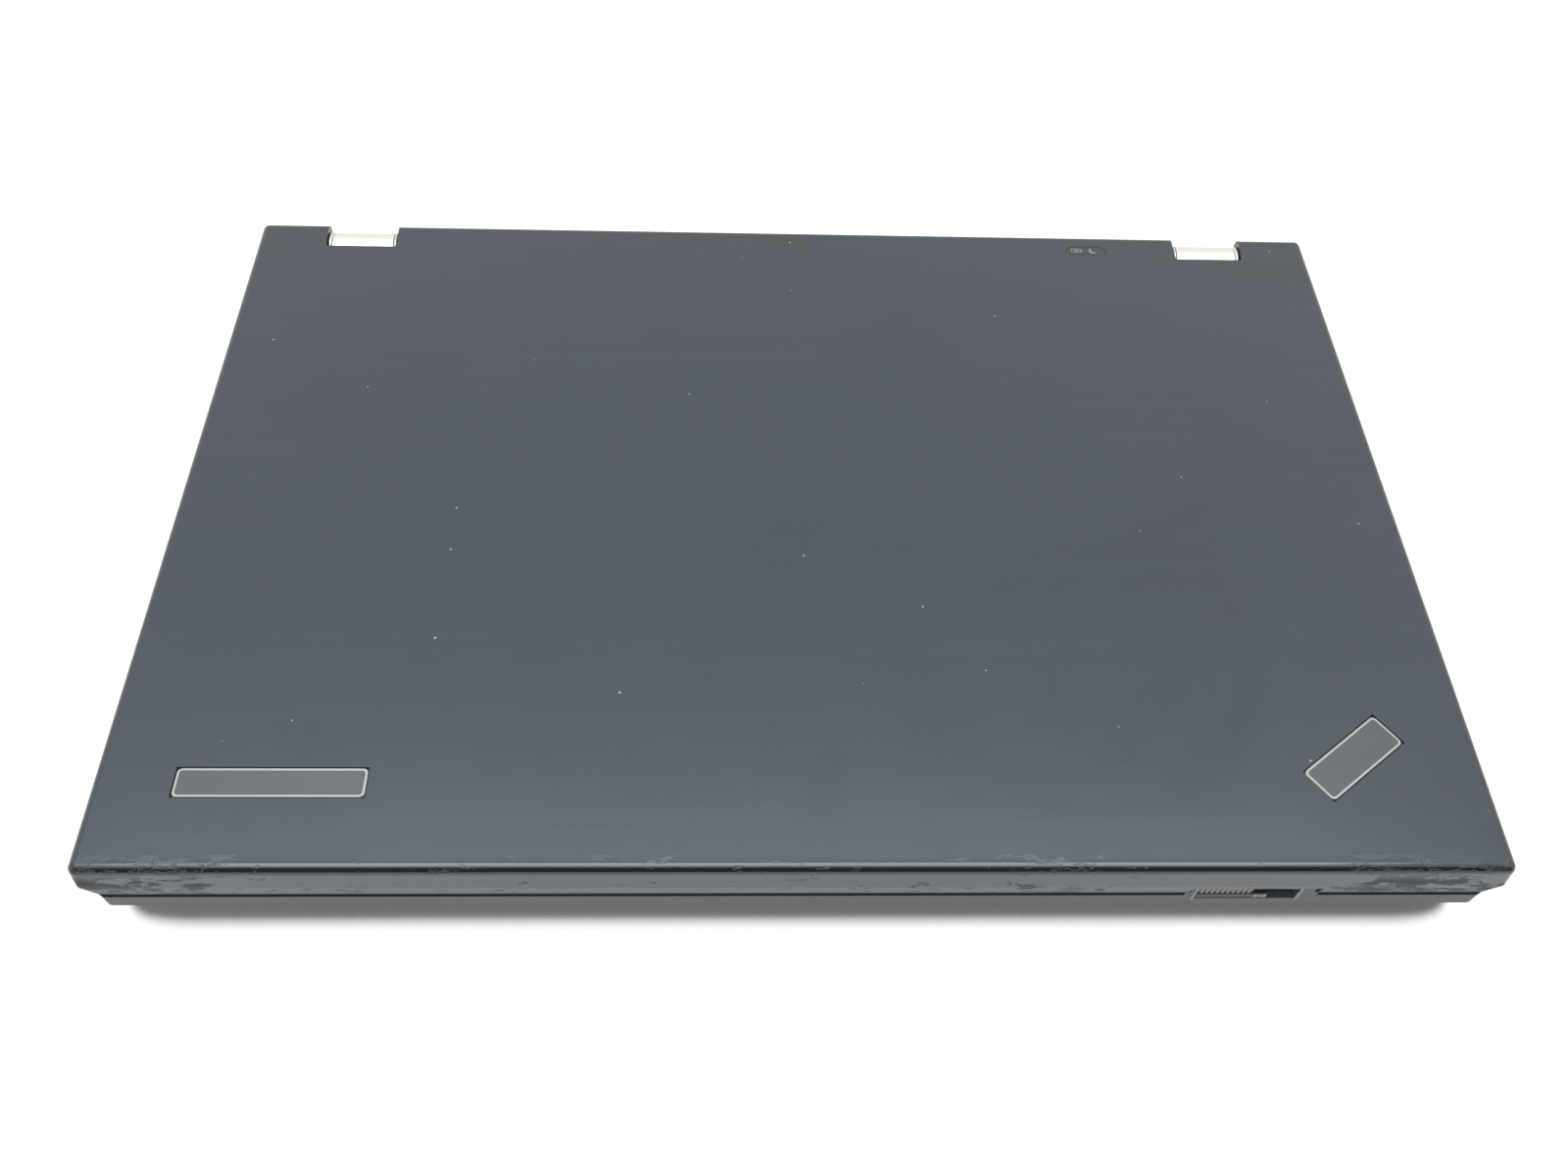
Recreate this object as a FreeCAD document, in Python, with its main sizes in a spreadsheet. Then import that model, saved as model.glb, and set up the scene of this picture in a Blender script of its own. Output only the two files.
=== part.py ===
import FreeCAD, Part
import os
import re

import Sketcher

# A closed business laptop lying on its feet, lid shut.
# Frame: origin on the floor under the middle, +X right, +Y to the hinges, +Z up. Millimetres.

SIZES = {
    # Overall stack, from the floor up
    "overall_width": 372.8,
    "overall_depth": 245.1,
    "foot_height": 1.6,
    "base_height": 17.7,
    "lid_gap": 0.7,
    "bezel_height": 6.6,
    "cover_height": 9.0,
    # Lid cover
    "lid_flare": 0.8,
    "lid_round": 2.4,
    "cover_wall": 2.6,
    "cover_thick": 2.2,
    "rear_step": 1.5,
    # Screen bezel
    "bezel_taper": 1.3,
    "bezel_wall": 2.2,
    "bezel_thick": 2.0,
    "boss_radius": 3.0,
    "boss_from_latch": 13.6,
    "boss_rear_x": 60.0,
    "boss_room": 5.6,
    # Screen
    "panel_side_room": 6.7,
    "panel_front_room": 15.6,
    "panel_rear_room": 14.1,
    "panel_thick": 5.5,
    "screen_side_border": 7.6,
    "screen_front_border": 6.0,
    "screen_rear_border": 10.0,
    "glass_thick": 0.6,
    "glass_clear": 0.4,
    "camera_width": 60.0,
    "camera_depth": 6.0,
    "camera_height": 3.6,
    "camera_lens": 2.6,
    "camera_gap": 1.4,
    # Things set into the lid's upper face
    "inlay_depth": 0.8,
    "inlay_sink": 0.1,
    "inlay_clear": 0.1,
    "window_from_hinge": 44.3,
    "window_setback": 7.0,
    "window_length": 14.4,
    "window_width": 5.6,
    "plate_from_side": 46.8,
    "plate_from_front": 25.55,
    "plate_length": 50.0,
    "plate_width": 8.8,
    "tag_from_side": 36.2,
    "tag_from_front": 33.55,
    "tag_length": 30.0,
    "tag_width": 11.0,
    "tag_turn": 36.6,
    # Hinges
    "hinge_setback": 6.0,
    "hinge_drop": 7.1,
    "hinge_from_side": 36.1,
    "notch_width": 24.4,
    "notch_front": 6.2,
    "notch_wall": 1.8,
    "tower_width": 21.0,
    "barrel_radius": 5.7,
    "stem_front": 5.0,
    "stem_rear": 2.0,
    "stem_clear": 0.2,
    "tower_foot": 2.0,
    "tower_ledge": 2.6,
    "pin_radius": 2.0,
    "pin_run": 0.05,
    "pin_pass": 0.3,
    "pin_end": 2.0,
    "arm_thick": 4.0,
    "arm_clear": 0.4,
    "arm_eye": 3.2,
    "arm_rail": 2.4,
    "arm_length": 70.0,
    # Base shells
    "base_inset": 1.5,
    "base_corner": 3.0,
    "base_wall": 2.2,
    "floor_thick": 2.0,
    "deck_thick": 2.0,
    "lip_drop": 7.5,
    "skirt_wall": 2.3,
    "seam_gap": 0.1,
    "slope_wall": 2.2,
    # Keyboard
    "palm_share": 0.409,
    "keyboard_side_room": 43.525,
    "keyboard_rear_room": 34.85,
    "key_gap": 0.8,
    "key_height": 3.6,
    "key_slope": 1.6,
    "key_sink": 0.2,
    "key_travel": 2.0,
    "key_floor_gap": 0.4,
    "small_key_depth": 13.0,
    "well_clear": 0.4,
    "tray_margin": 1.5,
    "tray_wall": 1.0,
    "tray_thick": 1.0,
    "stick_keys": 0.75,
    "stick_radius": 3.2,
    "stick_stem": 1.5,
    "stick_clear": 0.6,
    "stick_cap": 3.4,
    "stick_rise": 0.2,
    # Buttons and pad in the palm rest
    "deck_rib": 2.5,
    "button_clear": 0.3,
    "button_sink": 0.2,
    "button_between": 0.6,
    "flange_gap": 0.4,
    "flange_thick": 1.0,
    "flange_ledge": 1.0,
    "pad_width": 76.0,
    "pad_depth": 48.0,
    "pad_thick": 1.6,
    "pad_sink": 0.4,
    "pad_ledge": 2.0,
    "middle_button": 16.0,
    "stick_button_depth": 10.5,
    "pad_button_depth": 11.0,
    "sound_button": 12.0,
    "sound_button_depth": 6.0,
    "sound_button_pitch": 16.0,
    "sound_from_end": 32.9,
    "power_from_end": 24.9,
    "power_radius": 5.0,
    # Speakers
    "grille_margin": 6.0,
    "grille_key_room": 10.0,
    "grille_thick": 1.0,
    "grille_clear": 0.15,
    "grille_rear_room": 12.25,
    "speaker_from_port": 3.45,
    "speaker_depth": 40.0,
    "speaker_height": 4.5,
    # Lid latch at the front
    "latch_from_side": 49.2,
    "latch_housing_width": 33.6,
    "latch_housing_depth": 9.8,
    "latch_housing_rise": 4.1,
    "latch_notch_clear": 0.8,
    "latch_rim": 1.7,
    "latch_slot_width": 27.7,
    "latch_slot_depth": 6.8,
    "latch_slot_height": 6.2,
    "latch_slot_rise": 2.2,
    "latch_clear": 0.25,
    "latch_thumb": 15.5,
    "latch_ledge": 4.2,
    "latch_ledge_height": 2.4,
    "hook_from_latch": 9.4,
    "hook_from_front": 13.4,
    "hook_width": 8.0,
    "hook_thick": 2.0,
    "hook_drop": 5.2,
    "hook_barb": 1.5,
    "hook_clear": 0.7,
    "bumper_length": 10.0,
    "bumper_width": 3.0,
    "bumper_gap": 0.1,
    "bumper_side": 16.0,
    "bumper_front": 8.0,
    "bumper_rear": 4.0,
    # Circuit boards and cooling
    "board_lift": 2.4,
    "board_thick": 1.2,
    "board_left_gap": 11.8,
    "board_right_gap": 8.7,
    "board_from_front": 27.05,
    "board_rear_gap": 14.05,
    "board_arm_front_gap": 7.15,
    "board_arm_rear_gap": 4.25,
    "board_strip_gap": 2.4,
    "board_strip": 10.0,
    "board_tail_depth": 30.0,
    "standoff_radius": 2.5,
    "standoff_inset": 6.0,
    "standoff_side": 20.0,
    "inside_gap": 0.7,
    "processor_aside": 19.0,
    "processor_from_rear": 24.0,
    "processor_size": 34.0,
    "processor_thick": 2.0,
    "spreader_margin": 5.0,
    "spreader_thick": 1.8,
    "pipe_width": 7.0,
    "pipe_gap": 2.0,
    "fin_depth": 12.0,
    "fin_count": 12,
    "fin_share": 0.5,
    "fan_size": 48.0,
    "fan_height": 7.8,
    "fan_wall": 1.0,
    "fan_inlet": 14.0,
    "fan_clear": 1.0,
    "fan_hub": 8.0,
    "fan_shaft": 1.5,
    "fan_run": 0.05,
    "blade_count": 11,
    "blade_thick": 1.0,
    "memory_length": 67.6,
    "memory_depth": 30.0,
    "memory_thick": 1.8,
    "memory_gap": 0.3,
    "memory_front": 24.0,
    "card_width": 30.0,
    "card_depth": 27.0,
    "card_thick": 2.4,
    "card_gap": 5.0,
    # Drives and battery
    "drive_length": 100.2,
    "drive_tray_gap": 11.6,
    "drive_height": 9.5,
    "drive_lift": 0.2,
    "drive_from_front": 16.0,
    "door_margin": 4.0,
    "door_clear": 0.2,
    "optical_width": 126.0,
    "optical_depth": 126.0,
    "optical_height": 9.5,
    "optical_rise": 0.4,
    "optical_front": 29.0,
    "optical_wall": 0.8,
    "tray_plate": 4.0,
    "tray_clear": 0.5,
    "disc_radius": 60.4,
    "disc_sink": 1.6,
    "disc_hub_radius": 11.0,
    "disc_hub_bore": 2.0,
    "disc_hub_rise": 2.0,
    "eject_length": 8.0,
    "eject_height": 3.0,
    "eject_from_front": 24.0,
    "eject_room": 4.4,
    "battery_from_hinge": 47.8,
    "battery_depth": 49.0,
    "battery_height": 9.8,
    "battery_rise": 0.4,
    "battery_clear": 0.3,
    "bay_rib": 1.8,
    "battery_latch_x": 60.0,
    "battery_latch_length": 16.0,
    "battery_latch_width": 6.0,
    "battery_latch_travel": 6.0,
    "battery_latch_room": 6.0,
    "battery_latch_plate": 1.0,
    # Ports, each measured at the wall it opens in
    "port_clear": 0.3,
    "usb_width": 13.2,
    "usb_height": 5.8,
    "usb_length": 14.0,
    "usb_shell": 0.4,
    "usb_pitch": 15.0,
    "usb_right_share": 0.1843,
    "video_width": 31.0,
    "video_height": 10.0,
    "video_length": 12.0,
    "video_shell": 16.6,
    "video_shell_height": 8.2,
    "video_sink": 5.0,
    "network_width": 15.6,
    "network_height": 11.0,
    "network_length": 14.0,
    "network_shell": 1.0,
    "socket_from_hinge": 23.6,
    "inlet_width": 11.0,
    "inlet_length": 12.0,
    "inlet_bore": 3.7,
    "inlet_pin": 0.9,
    "inlet_sink": 9.0,
    "audio_share": 0.3909,
    "audio_width": 7.0,
    "audio_length": 13.0,
    "audio_bore": 1.8,
    "audio_sink": 12.0,
    "lock_share": 0.7583,
    "lock_width": 7.0,
    "lock_height": 3.0,
    "switch_share": 0.5861,
    "switch_knob": 4.5,
    "switch_travel": 3.0,
    "switch_height": 2.6,
    "switch_proud": 0.6,
    "switch_plate": 2.0,
    # Vents
    "vent_count": 9,
    "vent_share": 0.55,
    "vent_height": 5.6,
    "intake_count": 6,
    "intake_share": 0.5,
    # Screws and feet
    "screw_radius": 1.2,
    "screw_fit": 0.05,
    "screw_head": 2.4,
    "screw_head_thick": 1.0,
    "screw_sink": 1.2,
    "screw_length": 8.0,
    "post_radius": 3.5,
    "post_front_x": 60.0,
    "post_front_room": 15.0,
    "post_from_hinge": 38.3,
    "post_rear_room": 9.0,
    "foot_length": 30.0,
    "foot_width": 10.0,
    "foot_front_room": 15.0,
    "foot_rear_room": 14.0,
    "foot_side_room": 20.0,
    # How far a cutting shape reaches past the face it opens
    "cut_margin": 1.0,
}

# Key widths along each row, front row first, in key pitches.
KEY_ROWS = [
    [1, 1, 1, 1.25, 4.5, 1.25, 1, 1, 1, 1, 1],
    [2.25] + [1] * 10 + [2.75],
    [1.75] + [1] * 11 + [2.25],
    [1.5] + [1] * 12 + [1.5],
    [1] * 13 + [2],
    [1] * 15,
]
ROW_UNITS = 15
STICK_ROW = 2

doc = FreeCAD.newDocument("Laptop")
sheet = doc.addObject("Spreadsheet::Sheet", "Sizes")
for row, (alias, value) in enumerate(SIZES.items(), start=1):
    sheet.set(f"A{row}", alias)
    sheet.set(f"B{row}", str(value))
    sheet.setAlias(f"B{row}", alias)
doc.recompute()

# Levels and faces that several pieces share, as formulas on the sheet.
HALF_W = "(overall_width / 2)"
HALF_D = "(overall_depth / 2)"
BASE_X = f"({HALF_W} - base_inset)"
BASE_FRONT = f"(base_inset - {HALF_D})"
BASE_REAR = f"({HALF_D} - base_inset)"
INSIDE_X = f"({BASE_X} - base_wall)"
INSIDE_REAR = f"({BASE_REAR} - base_wall)"
FLOOR_TOP = "(foot_height + floor_thick)"
DECK_TOP = "(foot_height + base_height)"
DECK_UNDER = f"({DECK_TOP} - deck_thick)"
LIP = f"({DECK_TOP} - lip_drop)"
LID_BOTTOM = f"({DECK_TOP} + lid_gap)"
BEZEL_TOP = f"({LID_BOTTOM} + bezel_thick)"
SEAM = f"({LID_BOTTOM} + bezel_height)"
LID_TOP = f"({SEAM} + cover_height)"
LID_CEILING = f"({LID_TOP} - cover_thick)"
HINGE_X = f"({HALF_W} - hinge_from_side)"
HINGE_Y = f"({HALF_D} - hinge_setback)"
HINGE_Z = f"({LID_TOP} - hinge_drop)"
HINGE_RISE = f"({HINGE_Z} - {DECK_TOP})"
# The lid's lower rear edge stays half the closed gap off the deck as it swings past it.
BEZEL_REAR = f"({HINGE_Y} + sqrt(({HINGE_RISE} - lid_gap / 2)^2 - ({HINGE_RISE} - lid_gap)^2))"
LID_INSIDE_REAR = f"({BEZEL_REAR} - bezel_taper - bezel_wall)"
PANEL_X = f"({HALF_W} - panel_side_room)"
PANEL_FRONT = f"(panel_front_room - {HALF_D})"
PANEL_REAR = f"({HINGE_Y} - panel_rear_room)"
KEYS_FRONT = f"({BASE_FRONT} + palm_share * ({BASE_REAR} - {BASE_FRONT}))"
KEYS_REAR = f"({BASE_REAR} - keyboard_rear_room)"
KEYS_X = f"({HALF_W} - keyboard_side_room)"
KEY_WIDE = f"({KEYS_X} * 2 / {ROW_UNITS})"
KEY_DEEP = f"(({KEYS_REAR} - small_key_depth - {KEYS_FRONT}) / {len(KEY_ROWS) - 1})"
KEY_TOP = f"({DECK_TOP} - key_sink)"
KEY_UNDER = f"({KEY_TOP} - key_height)"
TRAY_TOP = f"({KEY_UNDER} - key_travel - key_floor_gap)"
STICK_X = f"(-stick_keys * {KEY_WIDE})"
STICK_Y = f"({KEYS_FRONT} + {STICK_ROW} * {KEY_DEEP})"
STICK_BUTTONS = (f"({KEYS_FRONT} - tray_margin - deck_rib - stick_button_depth)",
                 f"({KEYS_FRONT} - tray_margin - deck_rib)")
PAD = (f"({STICK_BUTTONS[0]} - deck_rib - pad_depth)", f"({STICK_BUTTONS[0]} - deck_rib)")
PAD_BUTTONS = (f"({PAD[0]} - deck_rib - pad_button_depth)", f"({PAD[0]} - deck_rib)")
PAD_X = (f"({STICK_X} - pad_width / 2)", f"({STICK_X} + pad_width / 2)")
SOUND_BUTTONS = (f"({KEYS_REAR} + tray_margin + deck_rib)",
                 f"({KEYS_REAR} + tray_margin + deck_rib + sound_button_depth)")
POWER_X = f"({KEYS_X} - power_from_end)"
POWER_Y = f"({SOUND_BUTTONS[0]} + sound_button_depth / 2 + power_radius / 2)"
BOARD_UNDER = f"({FLOOR_TOP} + board_lift)"
BOARD_TOP = f"({BOARD_UNDER} + board_thick)"
BATTERY_FRONT = f"({BASE_REAR} - battery_depth)"
BATTERY_X = f"({HINGE_X} - battery_from_hinge)"
LATCH_HOUSING = (f"({HALF_W} - latch_from_side - latch_housing_width)", f"({HALF_W} - latch_from_side)")
LATCH_X = f"({LATCH_HOUSING[0]} + latch_rim)"
HOOK_X = f"({LATCH_HOUSING[0]} + hook_from_latch)"
LATCH_SLOT_TOP = f"({DECK_TOP} + latch_slot_rise)"
OPTICAL_FRONT = f"({BASE_FRONT} + optical_front)"
OPTICAL_UNDER = "(foot_height + optical_rise)"
FAN_LEFT = f"(inside_gap + fin_depth + inside_gap - {INSIDE_X})"
FAN_REAR = f"({BATTERY_FRONT} - battery_clear - bay_rib - inside_gap - pipe_width - pipe_gap)"
FAN_FRONT = f"({FAN_REAR} - fan_size)"
FAN_X = f"({FAN_LEFT} + fan_size / 2)"
FAN_Y = f"({FAN_REAR} - fan_size / 2)"
FAN_FLOOR = f"({FLOOR_TOP} + fan_wall)"
PIPE = (f"({FAN_REAR} + pipe_gap)", f"({FAN_REAR} + pipe_gap + pipe_width)")
SPREADER_UNDER = f"({BOARD_TOP} + processor_thick)"
DRIVE_REAR = f"({KEYS_FRONT} - tray_margin - drive_tray_gap)"
BOARD_LEFT = f"(inside_gap - {INSIDE_X} + drive_length + board_left_gap)"
BOARD_RIGHT = f"({INSIDE_X} - optical_width - board_right_gap)"
BOARD_FRONT = f"({BASE_FRONT} + board_from_front)"
BOARD_REAR = f"({BATTERY_FRONT} - board_rear_gap)"
BOARD_ARM = (f"({DRIVE_REAR} + board_arm_front_gap)", f"({FAN_FRONT} - board_arm_rear_gap)")
PROCESSOR_X = f"(({BOARD_LEFT} + {BOARD_RIGHT}) / 2 - processor_aside)"
PROCESSOR_Y = f"({BOARD_REAR} - processor_from_rear)"
MEMORY = (f"({BOARD_FRONT} + memory_front)", f"({BOARD_FRONT} + memory_front + memory_depth)")

ALIAS = re.compile(r"\b(" + "|".join(SIZES) + r")\b")
TURN = {
    "x": FreeCAD.Rotation(FreeCAD.Vector(0, 1, 0), 90),
    "y": FreeCAD.Rotation(FreeCAD.Vector(1, 0, 0), -90),
    "z": FreeCAD.Rotation(),
}


def bind(obj, path, formula):
    obj.setExpression(path, ALIAS.sub(r"Sizes.\1", formula))


def place(obj, rotation, at):
    obj.Placement = FreeCAD.Placement(FreeCAD.Vector(), rotation)
    for axis, formula in zip("xyz", at):
        bind(obj, f"Placement.Base.{axis}", formula)


def block(name, x, y, z):
    """A box between the pairs of faces x, y and z."""
    box = doc.addObject("Part::Box", name)
    for side, (low, high) in zip(("Length", "Width", "Height"), (x, y, z)):
        bind(box, side, f"({high}) - ({low})")
    place(box, FreeCAD.Rotation(), (x[0], y[0], z[0]))
    return box


def rod(name, axis, radius, at, length):
    """A cylinder from the point at, along one axis."""
    cylinder = doc.addObject("Part::Cylinder", name)
    bind(cylinder, "Radius", radius)
    bind(cylinder, "Height", length)
    place(cylinder, TURN[axis], at)
    return cylinder


def joined(name, pieces):
    fuse = doc.addObject("Part::MultiFuse", name)
    fuse.Shapes = pieces
    return fuse


def group(name, pieces):
    """Separate solids under one name."""
    compound = doc.addObject("Part::Compound", name)
    compound.Links = pieces
    return compound


def carved(name, base, tools):
    cut = doc.addObject("Part::Cut", name)
    cut.Base = base
    cut.Tool = tools[0] if len(tools) == 1 else joined(f"{name}_cuts", tools)
    return cut


def grown(span, by):
    return f"({span[0]}) - ({by})", f"({span[1]}) + ({by})"


def about(centre, half):
    return f"({centre}) - ({half})", f"({centre}) + ({half})"


def sided(side, low, high):
    """A span on the right side, or mirrored to the left one."""
    if side > 0:
        return low, high
    return f"-({high})", f"-({low})"


def slab(name, x, y, z, round_by, taper="0", round_rim=False):
    """A padded rectangle with rounded upright edges, its sides leaning by the taper."""
    body = doc.addObject("PartDesign::Body", name)
    plane = next(item for item in body.Origin.OriginFeatures if item.Role == "XY_Plane")
    sketch = body.newObject("Sketcher::SketchObject", f"{name}_outline")
    sketch.AttachmentSupport = (plane, [""])
    sketch.MapMode = "FlatFace"
    for axis, formula in zip("xyz", (x[0], y[0], z[0])):
        bind(sketch, f"AttachmentOffset.Base.{axis}", formula)
    corners = [FreeCAD.Vector(*point) for point in ((0, 0, 0), (1, 0, 0), (1, 1, 0), (0, 1, 0))]
    for start, end in zip(corners, corners[1:] + corners[:1]):
        sketch.addGeometry(Part.LineSegment(start, end))
    for line in range(4):
        sketch.addConstraint(Sketcher.Constraint("Coincident", line, 2, (line + 1) % 4, 1))
        sketch.addConstraint(Sketcher.Constraint("Vertical" if line % 2 else "Horizontal", line))
    sketch.addConstraint(Sketcher.Constraint("Coincident", 0, 1, -1, 1))
    for line, kind, span in ((0, "DistanceX", x), (1, "DistanceY", y)):
        index = sketch.addConstraint(Sketcher.Constraint(kind, line, 1, line, 2, 1.0))
        sketch.renameConstraint(index, kind)
        bind(sketch, f"Constraints.{kind}", f"({span[1]}) - ({span[0]})")
    pad = body.newObject("PartDesign::Pad", f"{name}_pad")
    pad.Profile = sketch
    bind(pad, "Length", f"({z[1]}) - ({z[0]})")
    bind(pad, "TaperAngle", taper)
    doc.recompute()
    top = pad.Shape.BoundBox.ZMax
    middle = pad.Shape.BoundBox.Center.z
    edges = []
    for index, edge in enumerate(pad.Shape.Edges, start=1):
        upright = edge.BoundBox.ZMin < middle < edge.BoundBox.ZMax
        rim = round_rim and edge.CenterOfMass.z > (top + middle) / 2
        if upright or rim:
            edges.append(f"Edge{index}")
    fillet = body.newObject("PartDesign::Fillet", f"{name}_rounding")
    fillet.Base = (pad, edges)
    bind(fillet, "Radius", round_by)
    return body


def slope_block(name, inset):
    """A block under the sloping front of the base, its upper face set inside by the inset."""
    slope = doc.addObject("Part::Box", name)
    thick = f"({LIP})"
    along = f"({LIP})"
    bind(slope, "Length", f"2 * {BASE_X} + 2 * cut_margin")
    bind(slope, "Width", f"3 * {along}")
    bind(slope, "Height", thick)
    back = f"sqrt(0.5) * ({inset} - {thick})"
    place(slope, FreeCAD.Rotation(FreeCAD.Vector(1, 0, 0), -45),
          (f"-{BASE_X} - cut_margin",
           f"{BASE_FRONT} + {back} - sqrt(0.5) * {along}",
           f"{LIP} + {back} + sqrt(0.5) * {along}"))
    return slope


def notch_spans(side, wall):
    """The gap in the lid that a hinge tower stands in, widened by a wall."""
    x = sided(side, *about(HINGE_X, f"notch_width / 2 + {wall}"))
    y = (f"{HINGE_Y} - notch_front - {wall}", f"{HALF_D} + cut_margin")
    return x, y


def eye_span(side):
    """Where the lid's hinge arm stands beside its notch."""
    inner = f"({HINGE_X} + notch_width / 2 + notch_wall + arm_clear)"
    return sided(side, inner, f"({inner} + arm_thick)")


def lid_hinge_cuts(name, low, high):
    """Notch, pin hole and arm pocket of both hinges, for one shell of the lid."""
    cuts = []
    for side in (-1, 1):
        tag = f"{name}_{'left' if side < 0 else 'right'}"
        x, y = notch_spans(side, "0")
        cuts.append(block(f"{tag}_notch", x, y, (f"{low} - cut_margin", f"{high} + cut_margin")))
        start = sided(side, HINGE_X, f"{HINGE_X} + notch_width")
        cuts.append(rod(f"{tag}_pin_hole", "x", "pin_radius + pin_pass",
                        (start[0], HINGE_Y, HINGE_Z), f"({start[1]}) - ({start[0]})"))
        cuts.append(block(f"{tag}_arm_pocket", grown(eye_span(side), "arm_clear"),
                          (f"{PANEL_REAR}", f"{HINGE_Y} + arm_eye + arm_clear / 2"),
                          about(HINGE_Z, "arm_eye + arm_clear")))
    return cuts


def boss_points():
    front = f"({PANEL_FRONT} - boss_room)"
    rear = f"({PANEL_REAR} + boss_room)"
    side = f"({LATCH_HOUSING[0]} - boss_from_latch)"
    return [(f"-{side}", front), (side, front), ("-boss_rear_x", rear), ("boss_rear_x", rear)]


def lid_hollow(name, side_wall, front_wall, z):
    """Space inside one shell of the lid, leaving hinge walls, latch walls and screw bosses."""
    space = block(f"{name}_space", about("0", f"{HALF_W} - {side_wall}"),
                  (f"{front_wall} - {HALF_D}", LID_INSIDE_REAR), z)
    kept = []
    for side in (-1, 1):
        x, y = notch_spans(side, "notch_wall")
        kept.append(block(f"{name}_notch_wall_{len(kept)}", x, y, z))
    kept.append(block(f"{name}_latch_wall",
                      grown(latch_notch()[0], "notch_wall"), grown(latch_notch()[1], "notch_wall"),
                      grown(latch_notch()[2], "notch_wall")))
    for x, y in boss_points():
        kept.append(rod(f"{name}_boss_{len(kept)}", "z", "boss_radius", (x, y, z[0]), f"({z[1]}) - ({z[0]})"))
    return carved(f"{name}_hollow", space, kept)


def latch_notch():
    """The gap under the lid's front edge that clears the latch housing."""
    x = grown(LATCH_HOUSING, "latch_notch_clear")
    y = (f"-{HALF_D} - cut_margin", f"{BASE_FRONT} + latch_housing_depth + latch_notch_clear")
    z = (f"{LID_BOTTOM} - cut_margin", f"{DECK_TOP} + latch_housing_rise + latch_notch_clear")
    return x, y, z


def pill(name, x, y, length, width, z):
    """A flat bar with round ends."""
    straight = f"(({length}) - ({width})) / 2"
    height = f"({z[1]}) - ({z[0]})"
    return joined(name, [
        block(f"{name}_bar", about(x, straight), about(y, f"({width}) / 2"), z),
        rod(f"{name}_end_a", "z", f"({width}) / 2", (f"({x}) - {straight}", y, z[0]), height),
        rod(f"{name}_end_b", "z", f"({width}) / 2", (f"({x}) + {straight}", y, z[0]), height)])


def turned_plate(name, length, width, x, y, turn, z):
    """A small upright-sided plate turned in the plane of the lid."""
    plate = block(name, about("0", f"({length}) / 2"), about("0", f"({width}) / 2"), z)
    middle_x = f"({length}) / 2"
    middle_y = f"({width}) / 2"
    bind(plate, "Placement.Rotation.Angle", turn)
    bind(plate, "Placement.Base.x", f"{x} - {middle_x} * cos({turn}) + {middle_y} * sin({turn})")
    bind(plate, "Placement.Base.y", f"{y} - {middle_x} * sin({turn}) - {middle_y} * cos({turn})")
    return plate


def inlays(name, grow, z):
    """The status window and the two bare badge plates, or the recesses they lie in."""
    window_y = f"({HALF_D} - rear_step - lid_flare - window_setback)"
    window = pill(f"{name}_window", f"({HINGE_X} - window_from_hinge)", window_y,
                  f"window_length + 2 * {grow}", f"window_width + 2 * {grow}", z)
    plate = turned_plate(f"{name}_plate", f"plate_length + 2 * {grow}", f"plate_width + 2 * {grow}",
                         f"(plate_from_side - {HALF_W})", f"(plate_from_front - {HALF_D})", "0", z)
    tag = turned_plate(f"{name}_tag", f"tag_length + 2 * {grow}", f"tag_width + 2 * {grow}",
                       f"({HALF_W} - tag_from_side)", f"(tag_from_front - {HALF_D})", "tag_turn", z)
    return window, plate, tag


def lid_cover():
    form = slab("lid_cover_form", about("0", HALF_W), about("0", HALF_D), (SEAM, LID_TOP),
                "lid_round", "-atan(lid_flare / cover_height)", round_rim=True)
    hollow = lid_hollow("lid_cover", "(cover_wall + lid_flare)", "(cover_wall + lid_flare)",
                        (f"{SEAM} - cut_margin", LID_CEILING))
    step = block("lid_cover_rear_step", about("0", f"{HINGE_X} - notch_width / 2 + cut_margin"),
                 (f"{HALF_D} - rear_step", f"{HALF_D} + cut_margin"),
                 (f"{SEAM} - cut_margin", f"{LID_TOP} + cut_margin"))
    recesses = inlays("lid_recess", "inlay_clear", (f"{LID_TOP} - inlay_depth", f"{LID_TOP} + cut_margin"))
    pilots = [rod(f"lid_cover_pilot_{index}", "z", "screw_radius + screw_fit",
                  (x, y, f"{SEAM} - cut_margin"), "screw_length")
              for index, (x, y) in enumerate(boss_points())]
    cuts = [hollow, step, *recesses, *pilots, *lid_hinge_cuts("lid_cover", SEAM, LID_TOP)]
    return carved("lid_cover", form, cuts)


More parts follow.
